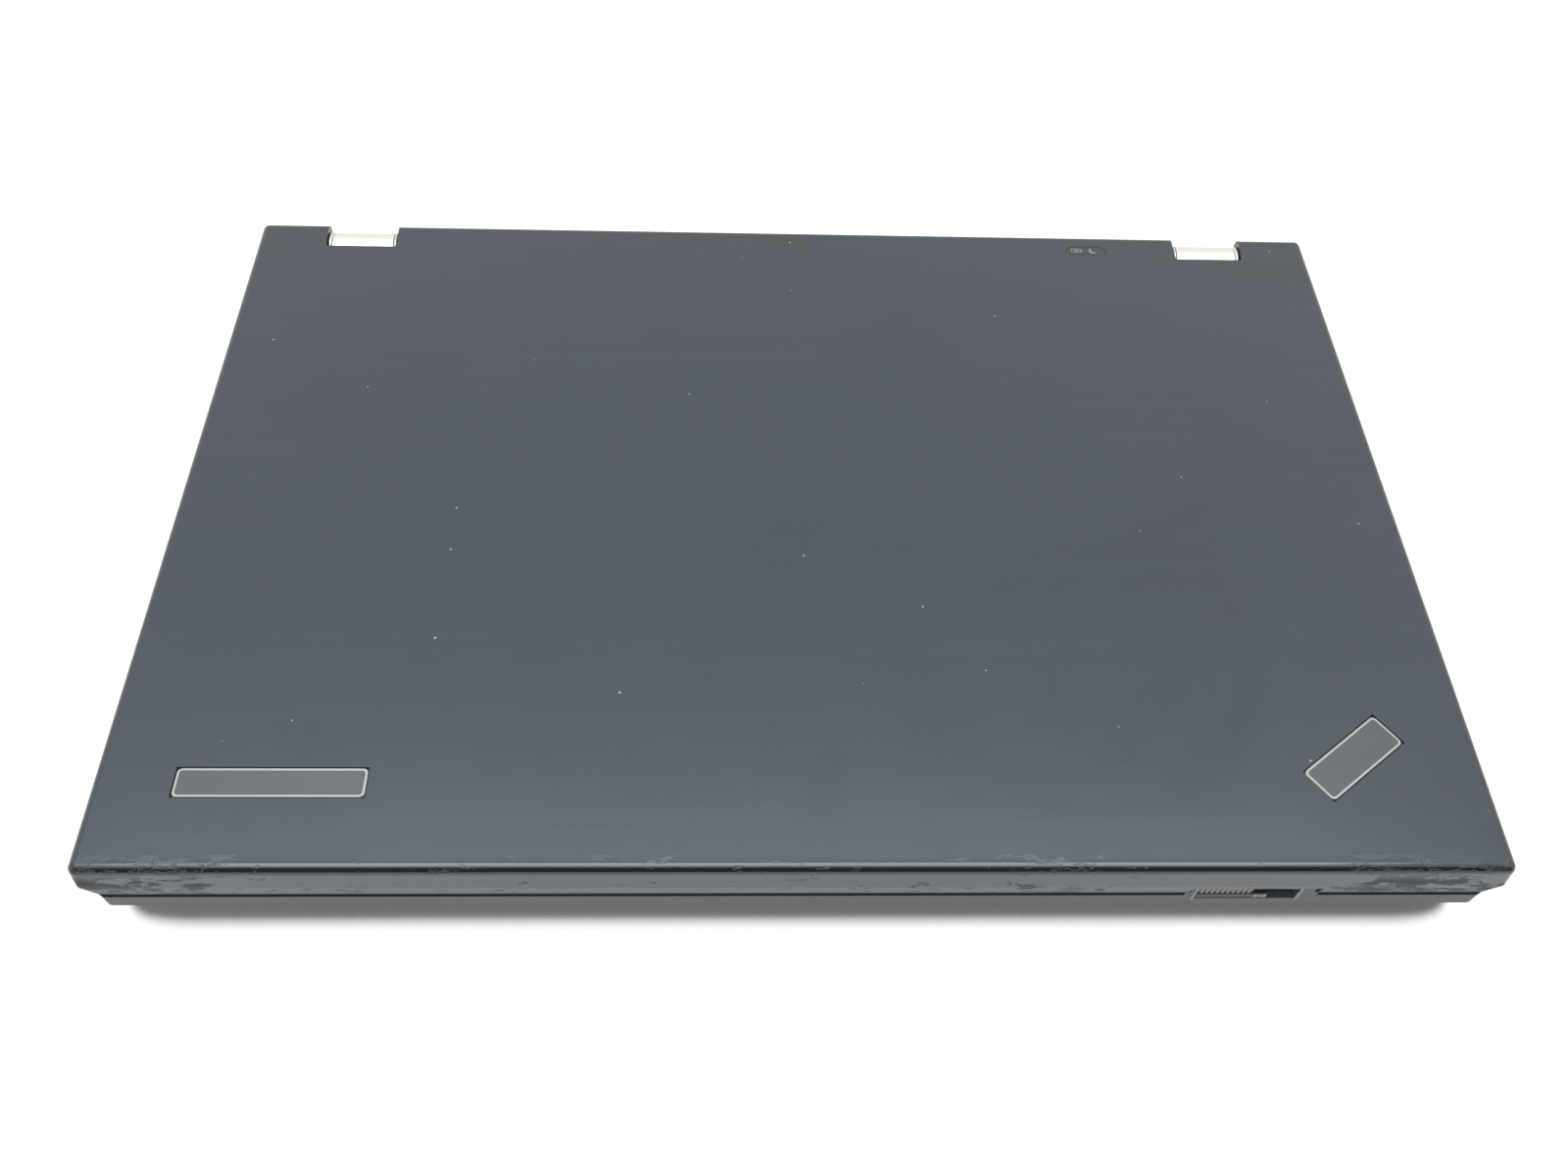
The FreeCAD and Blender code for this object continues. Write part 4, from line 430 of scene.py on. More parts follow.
def moulded(name, colour, rough, grain=1500.0, mottle=0.1, bump=0.25, depth=0.00004, dust=0.0, **constants):
    """A moulded or cast finish with grain, and dust where asked."""
    material = new_material(name)
    tree = material.node_tree
    skin = use_effect(tree, GRAIN, {"Colour": (*colour, 1.0), "Grain": grain, "Mottle": mottle,
                                    "Roughness": rough, "Spread": 0.1})
    shade = skin["Colour"]
    if dust:
        specks = mask_of(tree, SPECKS, {"Cells": 90.0, "Share": dust, "Radius": 0.03})
        shade = mixed(tree, specks, DUST_COVER, shade, DUST_GREY)
    close_material(tree, shade, skin["Roughness"], skin["Height"], bump, depth, **constants)
    return material


def brushed(name, colour, rough, along=6.0, across=900.0, metallic=1.0):
    """A metal brushed along X."""
    line_shade = 0.7
    line_share = 0.35
    line_rough = 0.12
    bump = 0.3
    depth = 0.00003
    material = new_material(name)
    tree = material.node_tree
    skin = use_effect(tree, GRAIN, {"Colour": (*colour, 1.0), "Grain": 700.0, "Mottle": 0.05,
                                    "Roughness": rough, "Spread": 0.08})
    lines = mask_of(tree, STREAKS, {"Along": along, "Across": across})
    shade = mixed(tree, lines, line_share, skin["Colour"], [value * line_shade for value in colour])
    rough_lines = plus(tree, skin["Roughness"], times(tree, lines, line_rough), clamp=True)
    close_material(tree, shade, rough_lines, lines, bump, depth, Metallic=metallic)
    return material


LID_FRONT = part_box("lid_cover")[0].y
LID_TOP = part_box("lid_cover")[1].z
LID_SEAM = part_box("lid_cover")[0].z
LID_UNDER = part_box("lid_bezel")[0].z
CHIP_BLACK = (0.006, 0.008, 0.010)
# Painted shade: the colour of a dark line along the lid's lower edge, where the seam lies in shade
SEAM_SHADE = (0.006, 0.006, 0.007)
# Painted dark reflection: the colour laid along the lid's front fillet, where the rounded edge would mirror
# dark surroundings
PAINTED_REFLECTION_BLACK = (0.008, 0.010, 0.012)
LID_DUST = (0.52, 0.53, 0.53)
LID_GLOSS_TINT = (0.86, 0.95, 1.0, 1.0)


def front_line(tree, z, reach):
    return mask_of(tree, EDGE_LINE, {"Edge Y": LID_FRONT, "Edge Z": z, "Reach": reach})


def lid_coat(name, colour, rough, edge_z, reach, cover):
    """Soft rubbery paint: wipe streaks, hand smudges, dust and a rubbed front edge, with painted shade along
    the seam at the lid's lower edge and a painted dark reflection along the front fillet.
    """
    bump = 0.35
    depth = 0.00012
    grain_height = 0.25
    chip_height = 7.0
    wiped_range = (0.50, 0.72)
    wiped_tone = 1.30
    smudged_tone = 0.78
    seam_shade_reach = 0.0011
    fillet_reflection_reach = 0.0034
    polish_reach = 0.006
    smudge_rough = -0.03
    polish_gloss = 0.10
    chip_rough = 0.45
    material = new_material(name)
    tree = material.node_tree
    skin = use_effect(tree, GRAIN, {"Colour": (*colour, 1.0), "Grain": 2600.0, "Mottle": 0.05,
                                    "Roughness": rough, "Spread": 0.05})
    lines = mask_of(tree, STREAKS, {"Along": 9.0, "Across": 300.0})
    wiped = ramped(tree, lines, *wiped_range)
    hands = mask_of(tree, SMUDGES, {"Size": 13.0, "Cover": 0.57})
    rubbed = mask_of(tree, SCUFFS, {"Edge Y": LID_FRONT, "Edge Z": edge_z, "Reach": reach, "Cover": cover})
    specks = mask_of(tree, SPECKS, {"Cells": 58.0, "Share": 0.10, "Radius": 0.016})
    # Painted shade: darkens the lid's lower edge along the seam
    seam_shade = front_line(tree, LID_UNDER, seam_shade_reach)
    # Painted dark reflection: a dark band along the top of the front fillet
    fillet_reflection = front_line(tree, LID_TOP, fillet_reflection_reach)
    polish = front_line(tree, LID_TOP, polish_reach)
    paler = [value * wiped_tone for value in colour]
    darker = [value * smudged_tone for value in colour]
    shade = skin["Colour"]
    # Real wipe marks, smudges, scuffs and dust, then painted shade at the seam and a painted dark reflection
    # on the fillet
    for mask, amount, tint in ((wiped, 0.30, paler), (hands, 0.32, darker), (rubbed, 0.9, CHIP_BLACK),
                               (specks, 0.7, LID_DUST), (seam_shade, 0.9, SEAM_SHADE),
                               (fillet_reflection, 0.75, PAINTED_REFLECTION_BLACK)):
        shade = mixed(tree, mask, amount, shade, tint)
    sheen = plus(tree, skin["Roughness"], times(tree, hands, smudge_rough), clamp=True)
    sheen = minus(tree, sheen, times(tree, polish, polish_gloss), clamp=True)
    sheen = plus(tree, sheen, times(tree, rubbed, chip_rough), clamp=True)
    height = minus(tree, times(tree, skin["Height"], grain_height), times(tree, rubbed, chip_height))
    close_material(tree, shade, sheen, height, bump, depth, Specular_IOR_Level=0.85,
                   Specular_Tint=LID_GLOSS_TINT)
    return material


LID_PAINT = lid_coat("lid_soft_paint", (0.031, 0.040, 0.049), 0.25, LID_SEAM + mm(3.0), 0.008, 0.56)
BEZEL_COAT = lid_coat("bezel_soft_paint", (0.048, 0.058, 0.066), 0.42, LID_SEAM - mm(2.0), 0.008, 0.54)
CASE = moulded("case_plastic", (0.072, 0.081, 0.089), 0.50, dust=0.03)
BASE_CASE = moulded("base_plastic", (0.052, 0.056, 0.059), 0.60, grain=1100.0, bump=0.4, dust=0.04)
KEY = moulded("key_plastic", (0.030, 0.032, 0.034), 0.48, grain=2400.0)
BUTTON = moulded("button_plastic", (0.040, 0.043, 0.046), 0.42, grain=2200.0)
PAD = moulded("pad_film", (0.048, 0.052, 0.055), 0.38, grain=950.0, bump=0.7, depth=0.0001)
HINGE = brushed("hinge_metal", (0.88, 0.86, 0.77), 0.34, across=500.0, metallic=0.55)
STEEL = brushed("brushed_steel", (0.52, 0.53, 0.54), 0.36)
BADGE = brushed("badge_metal", (0.36, 0.37, 0.38), 0.34, along=10.0, across=1600.0)
GUNMETAL = brushed("badge_panel_metal", (0.115, 0.12, 0.125), 0.42, along=10.0, across=1600.0)
DRIVE = brushed("drive_metal", (0.46, 0.47, 0.48), 0.44)
PANEL = moulded("screen_module", (0.30, 0.31, 0.32), 0.45, Metallic=0.8)
GLASS = moulded("screen_glass", (0.010, 0.011, 0.013), 0.30, grain=4000.0, bump=0.15, Coat_Weight=0.3,
                Coat_Roughness=0.35)
LENS = moulded("dark_lens", (0.022, 0.024, 0.027), 0.22, grain=900.0, bump=0.05, Coat_Weight=0.6,
               Coat_Roughness=0.1)
WINDOW = moulded("status_lens", (0.022, 0.034, 0.046), 0.32, grain=900.0, bump=0.05, Specular_IOR_Level=0.8)
BOARD = moulded("solder_mask", (0.012, 0.075, 0.040), 0.40, grain=420.0, mottle=0.5, Coat_Weight=0.4)
CHIP = moulded("chip_epoxy", (0.020, 0.020, 0.021), 0.50)
COPPER = brushed("copper", (0.72, 0.36, 0.20), 0.38)
FAN = moulded("fan_plastic", (0.030, 0.030, 0.031), 0.45)
MESH_METAL = moulded("grille_metal", (0.040, 0.042, 0.045), 0.40, Metallic=0.4)
RUBBER = moulded("foot_rubber", (0.028, 0.028, 0.029), 0.85, grain=1800.0, bump=0.5, dust=0.15)
GOLD = brushed("contact_gold", (0.83, 0.62, 0.25), 0.30)
INK = moulded("legend_ink", (0.72, 0.73, 0.73), 0.60, mottle=0.05)
FAINT_INK = moulded("status_ink", (0.30, 0.32, 0.34), 0.55, mottle=0.05)
MARK_PLATE = moulded("latch_mark", (0.26, 0.27, 0.28), 0.55)
LATCH = moulded("latch_plastic", (0.20, 0.205, 0.21), 0.45, grain=2200.0)
# Painted shade: a dull black for the strip that stands for the shade in the seam under the lid
SHADE_STRIP_FINISH = moulded("shade_strip_dark", (0.018, 0.019, 0.020), 0.90, Specular_IOR_Level=0.0)
SOCKET = moulded("socket_plastic", (0.016, 0.016, 0.017), 0.45)
VIDEO = moulded("video_plastic", (0.020, 0.060, 0.25), 0.45)

DECK_BUTTONS = ["stick_button_left", "stick_button_middle", "stick_button_right", "pad_button_left",
                "pad_button_right", "mute_button", "volume_down_button", "volume_up_button"]
NODE_FINISH = {
    LID_PAINT: ["lid_cover"],
    BEZEL_COAT: ["lid_bezel"],
    CASE: ["palm_rest"],
    BASE_CASE: ["base_cover", "battery", "access_door", "optical_tray", "keyboard_tray"],
    KEY: [f"key_row_{row}" for row in range(1, 7)],
    BUTTON: DECK_BUTTONS + ["power_button", "latch_slider", "battery_latch_left", "battery_latch_right",
                            "wireless_switch", "eject_button"],
    PAD: ["touchpad"],
    HINGE: ["hinge_towers"],
    STEEL: ["hinge_arms", "hinge_pins", "bezel_screws", "base_screws", "latch_hooks", "disc_hub"],
    BADGE: ["badge_plates"],
    DRIVE: ["storage_drive", "optical_drive_case", "usb_ports"],
    PANEL: ["lcd_panel"],
    GLASS: ["lcd_glass"],
    LENS: ["camera_module"],
    WINDOW: ["status_window"],
    BOARD: ["mainboard", "memory_modules", "wireless_card"],
    CHIP: ["processor"],
    COPPER: ["heat_sink"],
    FAN: ["fan_housing", "fan_rotor", "speakers"],
    MESH_METAL: ["speaker_grilles"],
    RUBBER: ["rubber_feet", "lid_bumpers", "pointer_stick"],
    SOCKET: ["network_port", "power_inlet", "audio_jack"],
    VIDEO: ["display_port"],
}
for finish, names in NODE_FINISH.items():
    for name in names:
        for slot in nodes[name].material_slots:
            slot.material = finish


# Mesh making

CORNER_STEPS = 4
CRESCENT_STEPS = 18
TUBE_EDGE_SHARE = 0.12


def form_mesh(form, finish, name):
    bmesh.ops.recalc_face_normals(form, faces=form.faces)
    mesh = bpy.data.meshes.new(name)
    form.to_mesh(mesh)
    form.free()
    mesh.materials.append(finish)
    return mesh


def placed(name, mesh, body, move=None, crease=32.0):
    """A piece from a ready mesh, its place put into the mesh."""
    mesh.name = name
    if move:
        mesh.transform(move)
    mesh.shade_smooth()
    mesh.set_sharp_from_angle(angle=math.radians(crease))
    piece = link_object(name, mesh)
    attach(piece, body)
    return piece


def finished(form, name, finish, body, crease=32.0):
    """Turns a bmesh into a piece that rides on a body."""
    return placed(name, form_mesh(form, finish, name), body, None, crease)


def evaluated_mesh(holder):
    """What an object's modifiers or curves make of it, as a plain mesh."""
    graph = bpy.context.evaluated_depsgraph_get()
    return bpy.data.meshes.new_from_object(holder.evaluated_get(graph))


def turned(form, matrix, verts):
    if matrix:
        bmesh.ops.transform(form, matrix=matrix, verts=verts)
    return verts


def arc_points(centre, radius, start, end, steps):
    """Points along an arc between two angles in degrees."""
    points = []
    for step in range(steps + 1):
        angle = math.radians(start + (end - start) * step / steps)
        points.append((centre[0] + radius * math.cos(angle), centre[1] + radius * math.sin(angle)))
    return points


def round_outline(x, y, radius):
    """Points round a rectangle with round corners, counter-clockwise."""
    left, right = x[0] + radius, x[1] - radius
    front, rear = y[0] + radius, y[1] - radius
    points = []
    for index, centre in enumerate(((right, rear), (left, rear), (left, front), (right, front))):
        start = 90 * index
        points += arc_points(centre, radius, start, start + 90, CORNER_STEPS)
    return points


def add_rings(form, rings):
    """Joins rings of points, each with as many, and closes both ends."""
    loops = [[form.verts.new(point) for point in ring] for ring in rings]
    count = len(loops[0])
    for low, high in zip(loops, loops[1:]):
        for index in range(count):
            after = (index + 1) % count
            form.faces.new((low[index], low[after], high[after], high[index]))
    form.faces.new(loops[0])
    form.faces.new(loops[-1])
    return [vert for loop in loops for vert in loop]


def ring_at(x, y, z, inset, radius):
    """A round-cornered ring at a height, set in from a rectangle."""
    inner_x = (x[0] + inset, x[1] - inset)
    inner_y = (y[0] + inset, y[1] - inset)
    return [(px, py, z) for px, py in round_outline(inner_x, inner_y, max(radius - inset, mm(0.02)))]


def add_block(form, x, y, z, radius, bevel, turn=None):
    """A block with round corners seen from above and broken edges at top and bottom."""
    rings = [ring_at(x, y, z[0], bevel, radius), ring_at(x, y, z[0] + bevel, 0.0, radius),
             ring_at(x, y, z[1] - bevel, 0.0, radius), ring_at(x, y, z[1], bevel, radius)]
    return turned(form, turn, add_rings(form, rings))


def add_tube(form, centre, inner, outer, length, turn=None, steps=28):
    """A ring with broken edges that stands on its centre along Z, before it is turned."""
    edge = TUBE_EDGE_SHARE * (outer - inner)
    profile = [(inner, 0.0), (outer - edge, 0.0), (outer, edge), (outer, length - edge),
               (outer - edge, length), (inner, length)]
    loops = []
    for step in range(steps):
        angle = 2 * math.pi * step / steps
        loops.append([form.verts.new((r * math.cos(angle), r * math.sin(angle), z)) for r, z in profile])
    for index, loop in enumerate(loops):
        after = loops[(index + 1) % steps]
        for point in range(len(profile)):
            following = (point + 1) % len(profile)
            form.faces.new((loop[point], after[point], after[following], loop[following]))
    verts = [vert for loop in loops for vert in loop]
    turned(form, Matrix.Translation(centre), verts)
    return turned(form, turn, verts)


def add_lathe(form, profile, centre, steps=36):
    """A turned shape: radius and height pairs from the lower end to the upper one."""
    rings = []
    for radius, height in profile:
        rings.append([(centre[0] + radius * math.cos(2 * math.pi * step / steps),
                       centre[1] + radius * math.sin(2 * math.pi * step / steps), height)
                      for step in range(steps)])
    return add_rings(form, rings)


def add_flat(form, outline, z, thick, turn=None):
    """A flat shape of the given outline with a little thickness."""
    rings = [[(x, y, height) for x, y in outline] for height in (z, z + thick)]
    return turned(form, turn, add_rings(form, rings))


def arc_outline(centre, inner, outer, start, end, steps=20):
    """A flat arc as one closed outline."""
    return arc_points(centre, outer, start, end, steps) + arc_points(centre, inner, start, end, steps)[::-1]


def add_bar(form, centre, length, width, z, thick, turn=None):
    """A flat bar round its centre."""
    x = (centre[0] - length / 2, centre[0] + length / 2)
    y = (centre[1] - width / 2, centre[1] + width / 2)
    return add_flat(form, [(x[0], y[0]), (x[1], y[0]), (x[1], y[1]), (x[0], y[1])], z, thick, turn)


FACE_FRONT = Matrix.Rotation(math.radians(90), 4, "X")
FACE_RIGHT = Matrix.Rotation(math.radians(90), 4, "Z") @ FACE_FRONT
FACE_LEFT = Matrix.Rotation(math.radians(-90), 4, "Z") @ FACE_FRONT
FACE_REAR = Matrix.Rotation(math.radians(180), 4, "Z") @ FACE_FRONT
ALONG_X = Matrix.Rotation(math.radians(90), 4, "Y")


def at_wall(facing, x, y, z):
    return Matrix.Translation((x, y, z)) @ facing


# Shapes made by geometry nodes

def shape_tree(name, sizes, counts=()):
    """An empty geometry tree with named sizes and counts, and its inputs."""
    tree = bpy.data.node_groups.new(name, "GeometryNodeTree")
    tree.interface.new_socket("Geometry", in_out="INPUT", socket_type="NodeSocketGeometry")
    for labels, kind in ((sizes, FLOAT), (counts, INTEGER)):
        for label in labels:
            tree.interface.new_socket(label, in_out="INPUT", socket_type=kind)
    tree.interface.new_socket("Geometry", in_out="OUTPUT", socket_type="NodeSocketGeometry")
    return tree, tree.nodes.new("NodeGroupInput").outputs


def close_tree(tree, geometry, finish):
    real = shaping(tree, "RealizeInstances", {0: geometry})
    coat = shaping(tree, "SetMaterial", {0: real, "Material": finish})
    add_node(tree, "NodeGroupOutput", {0: coat})
    return tree


def joined(tree, *parts):
    join = add_node(tree, "GeometryNodeJoinGeometry")
    for part in parts:
        tree.links.new(part, join.inputs[0])
    return join.outputs[0]


def raised(tree, geometry, height):
    lift = shading(tree, "CombineXYZ", {2: height})
    return shaping(tree, "Transform", {"Geometry": geometry, "Translation": lift})


def copied(tree, points, instance, scale=(1.0, 1.0, 1.0)):
    return shaping(tree, "InstanceOnPoints", {"Points": points, "Instance": instance, "Scale": scale})


def rod(tree, vertices, radius, depth):
    return shaping(tree, "MeshCylinder", {"Vertices": vertices, "Radius": radius, "Depth": depth})


def grown_mesh(name, tree, sizes, points=()):
    """Runs a tree on a few points with its sizes set, and keeps the plain mesh."""
    seed_mesh = bpy.data.meshes.new(f"{name}_points")
    seed_mesh.from_pydata(list(points), [], [])
    holder = link_object(f"{name}_holder", seed_mesh)
    modifier = holder.modifiers.new("shape", "NODES")
    modifier.node_group = tree
    for item in tree.interface.items_tree:
        if item.in_out == "INPUT" and item.name in sizes:
            modifier[item.identifier] = sizes[item.name]
    mesh = evaluated_mesh(holder)
    holder.modifiers.remove(modifier)
    bpy.data.objects.remove(holder)
    return mesh


def grille_tree():
    """A thin plate with rows of round holes."""
    tree, size = shape_tree("perforated_plate", ["Width", "Depth", "Thickness", "Hole", "Margin"],
                            ["Columns", "Rows"])
    outline = shaping(tree, "CurvePrimitiveQuadrilateral", {"Width": size["Width"], "Height": size["Depth"]})
    grid = shaping(tree, "MeshGrid", {"Size X": minus(tree, size["Width"], size["Margin"]),
                                      "Size Y": minus(tree, size["Depth"], size["Margin"]),
                                      "Vertices X": size["Columns"], "Vertices Y": size["Rows"]})
    circle = shaping(tree, "CurvePrimitiveCircle", {"Resolution": 10, "Radius": size["Hole"]})
    lines = joined(tree, copied(tree, grid, circle), outline)
    sheet = shaping(tree, "FillCurve", {0: shaping(tree, "RealizeInstances", {0: lines})})
    upper = shaping(tree, "ExtrudeMesh", {"Mesh": sheet, "Offset Scale": size["Thickness"],
                                          "Individual": False})
    under = shaping(tree, "FlipFaces", {0: sheet})
    closed = shaping(tree, "MergeByDistance", {0: joined(tree, under, upper), "Distance": mm(0.01)})
    return close_tree(tree, closed, MESH_METAL)


def screw_tree():
    """A cross-slotted screw on every point, its head down."""
    tree, size = shape_tree("cross_screws", ["Head", "Head Height", "Shank", "Length", "Slot"])
    half = times(tree, size["Head Height"], 0.5)
    slot_length = times(tree, size["Head"], 1.3)
    bars = []
    for first, second in ((slot_length, size["Slot"]), (size["Slot"], slot_length)):
        box = shading(tree, "CombineXYZ", {0: first, 1: second, 2: size["Head Height"]})
        bars.append(shaping(tree, "MeshCube", {"Size": box}))
    cutters = raised(tree, joined(tree, *bars), times(tree, half, -1.0))
    head = rod(tree, 28, size["Head"], size["Head Height"])
    slotted = shaping(tree, "MeshBoolean", {0: head, 1: cutters}, operation="DIFFERENCE")
    rise = plus(tree, size["Head Height"], times(tree, size["Length"], 0.5))
    stem = raised(tree, rod(tree, 16, size["Shank"], size["Length"]), rise)
    screw = joined(tree, raised(tree, slotted, half), stem)
    return close_tree(tree, copied(tree, size["Geometry"], screw), STEEL)


def rib_tree(finish):
    """Round-backed ribs standing in a row along X, each running along Y."""
    tree, size = shape_tree(f"ribs_{finish.name}", ["Pitch", "Radius", "Length"], ["Count"])
    run = times(tree, size["Pitch"], minus(tree, size["Count"], 1.0))
    start = shading(tree, "CombineXYZ", {0: times(tree, run, -0.5)})
    step = shading(tree, "CombineXYZ", {0: size["Pitch"]})
    line = shaping(tree, "MeshLine", {"Count": size["Count"], "Start Location": start, "Offset": step})
    bar = rod(tree, 10, size["Radius"], size["Length"])
    lying = shaping(tree, "Transform", {"Geometry": bar, "Rotation": (math.radians(90), 0.0, 0.0)})
    return close_tree(tree, copied(tree, line, lying), finish)


def stud_tree(finish):
    """A small peg on every point, such as a contact pin."""
    tree, size = shape_tree(f"studs_{finish.name}", ["Radius", "Height"])
    peg = rod(tree, 12, size["Radius"], size["Height"])
    return close_tree(tree, copied(tree, size["Geometry"], peg), finish)


def chip_tree():
    """Small parts strewn over a board from a fixed seed."""
    tree, size = shape_tree("board_parts", ["Width", "Depth", "Density"], ["Seed"])
    smallest = mm(1.2, 1.0, 0.5)
    largest = mm(3.8, 3.6, 1.6)
    sheet = shaping(tree, "MeshGrid", {"Size X": size["Width"], "Size Y": size["Depth"],
                                       "Vertices X": 2, "Vertices Y": 2})
    spots = shaping(tree, "DistributePointsOnFaces", {
        "Mesh": sheet, "Distance Min": mm(4.2), "Density Max": size["Density"], "Seed": size["Seed"]},
        distribute_method="POISSON")
    body = shaping(tree, "MeshCube", {"Size": (1.0, 1.0, 1.0)})
    spread = add_node(tree, "FunctionNodeRandomValue", {0: smallest, 1: largest, "Seed": size["Seed"]},
                      data_type="FLOAT_VECTOR")
    return close_tree(tree, copied(tree, spots, body, spread.outputs[0]), CHIP)


GRILLE_PLATE = grille_tree()
CROSS_SCREWS = screw_tree()
LATCH_RIBS = rib_tree(LATCH)
RUBBER_RIBS = rib_tree(RUBBER)
GOLD_STUDS = stud_tree(GOLD)
BOARD_PARTS = chip_tree()


# Keyboard

KEY_WIDTHS = [
    [1, 1, 1, 1.25, 4.5, 1.25, 1, 1, 1, 1, 1],
    [2.25] + [1] * 10 + [2.75],
    [1.75] + [1] * 11 + [2.25],
    [1.5] + [1] * 12 + [1.5],
    [1] * 13 + [2],
    [1] * 15,
]
KEY_LEGENDS = [
    ["Fn", "Ctrl", "", "Alt", "", "Alt", "", "Ctrl", "<", "v", ">"],
    ["Shift", *"ZXCVBNM,./", "Shift"],
    ["Caps", *"ASDFGHJKL;'", "Enter"],
    ["Tab", *"QWERTYUIOP[]", "\\"],
    [*"`1234567890-=", "Back"],
    ["Esc", *[f"F{number}" for number in range(1, 13)], "Ins", "Del"],
]
ROW_UNITS = 15
KEY_GAP = mm(0.8)
KEY_RIM = mm(2.0)
KEY_CORNER = mm(1.0)
CORNER_SHARE = 0.7
SLOPE_SHARE = 0.4
DISH_DEPTHS = mm(0.2, 0.3)
DISH_FLAT = mm(0.6)
LETTER_HEIGHT = mm(4.2)
WORD_HEIGHT = mm(2.7)
CAPITAL_SHARE = 0.75
LEGEND_INSET = mm(3.3, 3.0)
LEGEND_THICK = mm(0.015)
LEGEND_PROUD = mm(0.012)
STICK_ROWS = (1, 2)
STICK_CLEARANCE = mm(0.6)
STICK_HOLE_DEPTH = mm(20.0)


def key_spans(row):
    """Where the keys of a row begin and end in X, and the row's extent in Y and Z."""
    low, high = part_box(f"key_row_{row + 1}")
    pitch = (high.x - low.x + KEY_GAP) / ROW_UNITS
    left = low.x
    spans = []
    for width in KEY_WIDTHS[row]:
        spans.append((left, left + width * pitch - KEY_GAP))
        left += width * pitch
    return spans, (low.y, high.y), (low.z, high.z)


def half_width(x, y):
    return min(x[1] - x[0], y[1] - y[0]) / 2


def key_dish(x, y, top):
    """How the hollowed top falls away from its rim: distance in from the skirt, and height."""
    half = half_width(x, y)
    slope_end = KEY_RIM + SLOPE_SHARE * (half - KEY_RIM)
    return [(KEY_RIM, top), (slope_end, top - DISH_DEPTHS[0]), (half - DISH_FLAT, top - DISH_DEPTHS[1])]


def add_key(form, x, y, z):
    """A key cap: sloping skirt, rounded shoulder and a hollowed top."""
    foot, top = z
    # Height, inset and corner radius of each ring of the skirt
    skirt = [(foot, 0.0, mm(1.3)), (foot + mm(0.5), mm(0.1), mm(1.3)),
             (top - mm(0.7), mm(1.2), mm(2.4)), (top - mm(0.2), mm(1.55), mm(2.7))]
    rings = [ring_at(x, y, *ring) for ring in skirt]
    half = half_width(x, y)
    for inset, height in key_dish(x, y, top):
        corner = min(KEY_CORNER, CORNER_SHARE * (half - inset))
        rings.append(ring_at(x, y, height, inset, inset + corner))
    add_rings(form, rings)


def top_height(x, y, top, px, py):
    """The height of a key's hollow at a point."""
    inset = min(px - x[0], x[1] - px, py - y[0], y[1] - py)
    dish = key_dish(x, y, top)
    for (near, upper), (far, lower) in zip(dish, dish[1:]):
        if inset <= far:
            return upper + (lower - upper) * max(inset - near, 0.0) / (far - near)
    return dish[-1][1]


def word_mesh(word, height):
    data = bpy.data.curves.new("legend", "FONT")
    data.body = word
    data.size = height
    data.extrude = LEGEND_THICK
    data.resolution_u = 3
    holder = link_object("legend", data)
    mesh = evaluated_mesh(holder)
    bpy.data.objects.remove(holder)
    return mesh


def add_legend(form, word, x, y, top):
    """A printed legend near the upper left of a key, laid into its hollow."""
    height = LETTER_HEIGHT if len(word) == 1 else WORD_HEIGHT
    mesh = word_mesh(word, height)
    start = len(form.verts)
    form.from_mesh(mesh)
    bpy.data.meshes.remove(mesh)
    form.verts.ensure_lookup_table()
    corner = (x[0] + LEGEND_INSET[0], y[1] - LEGEND_INSET[1] - CAPITAL_SHARE * height)
    for vert in form.verts[start:]:
        vert.co.x += corner[0]
        vert.co.y += corner[1]
        vert.co.z += top_height(x, y, top, vert.co.x, vert.co.y) + LEGEND_PROUD


def bored(mesh, centre, radius, depth):
    """The mesh with a round hole cut down through it."""
    tool_form = bmesh.new()
    bmesh.ops.create_cone(tool_form, cap_ends=True, segments=40, radius1=radius, radius2=radius, depth=depth,
                          matrix=Matrix.Translation(centre))
    tool_mesh = bpy.data.meshes.new("hole_tool")
    tool_form.to_mesh(tool_mesh)
    tool_form.free()
    tool = link_object("hole_tool", tool_mesh)
    holder = link_object("hole_holder", mesh)
    modifier = holder.modifiers.new("hole", "BOOLEAN")
    modifier.operation = "DIFFERENCE"
    modifier.solver = "EXACT"
    modifier.object = tool
    result = evaluated_mesh(holder)
    bpy.data.objects.remove(holder)
    bpy.data.objects.remove(tool)
    return result


def make_keyboard():
    """Every row's caps as one piece and its legends as another, with a hole left for the stick."""
    stick_low, stick_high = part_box("pointer_stick")
    stick = box_middle("pointer_stick")
    hole = (stick_high.x - stick_low.x) / 2 + STICK_CLEARANCE
    for row in range(len(KEY_WIDTHS)):
        name = f"key_row_{row + 1}"
        spans, y, z = key_spans(row)
        caps = bmesh.new()
        words = bmesh.new()
        for x, word in zip(spans, KEY_LEGENDS[row]):
            add_key(caps, x, y, z)
            if word:
                add_legend(words, word, x, y, z[1])
        mesh = form_mesh(caps, KEY, name)
        if row in STICK_ROWS:
            mesh = bored(mesh, (stick.x, stick.y, z[1]), hole, STICK_HOLE_DEPTH)
        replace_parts(placed(f"{name}_caps", mesh, name), name)
        finished(words, f"{name}_legends", INK, name)


# Stick and buttons

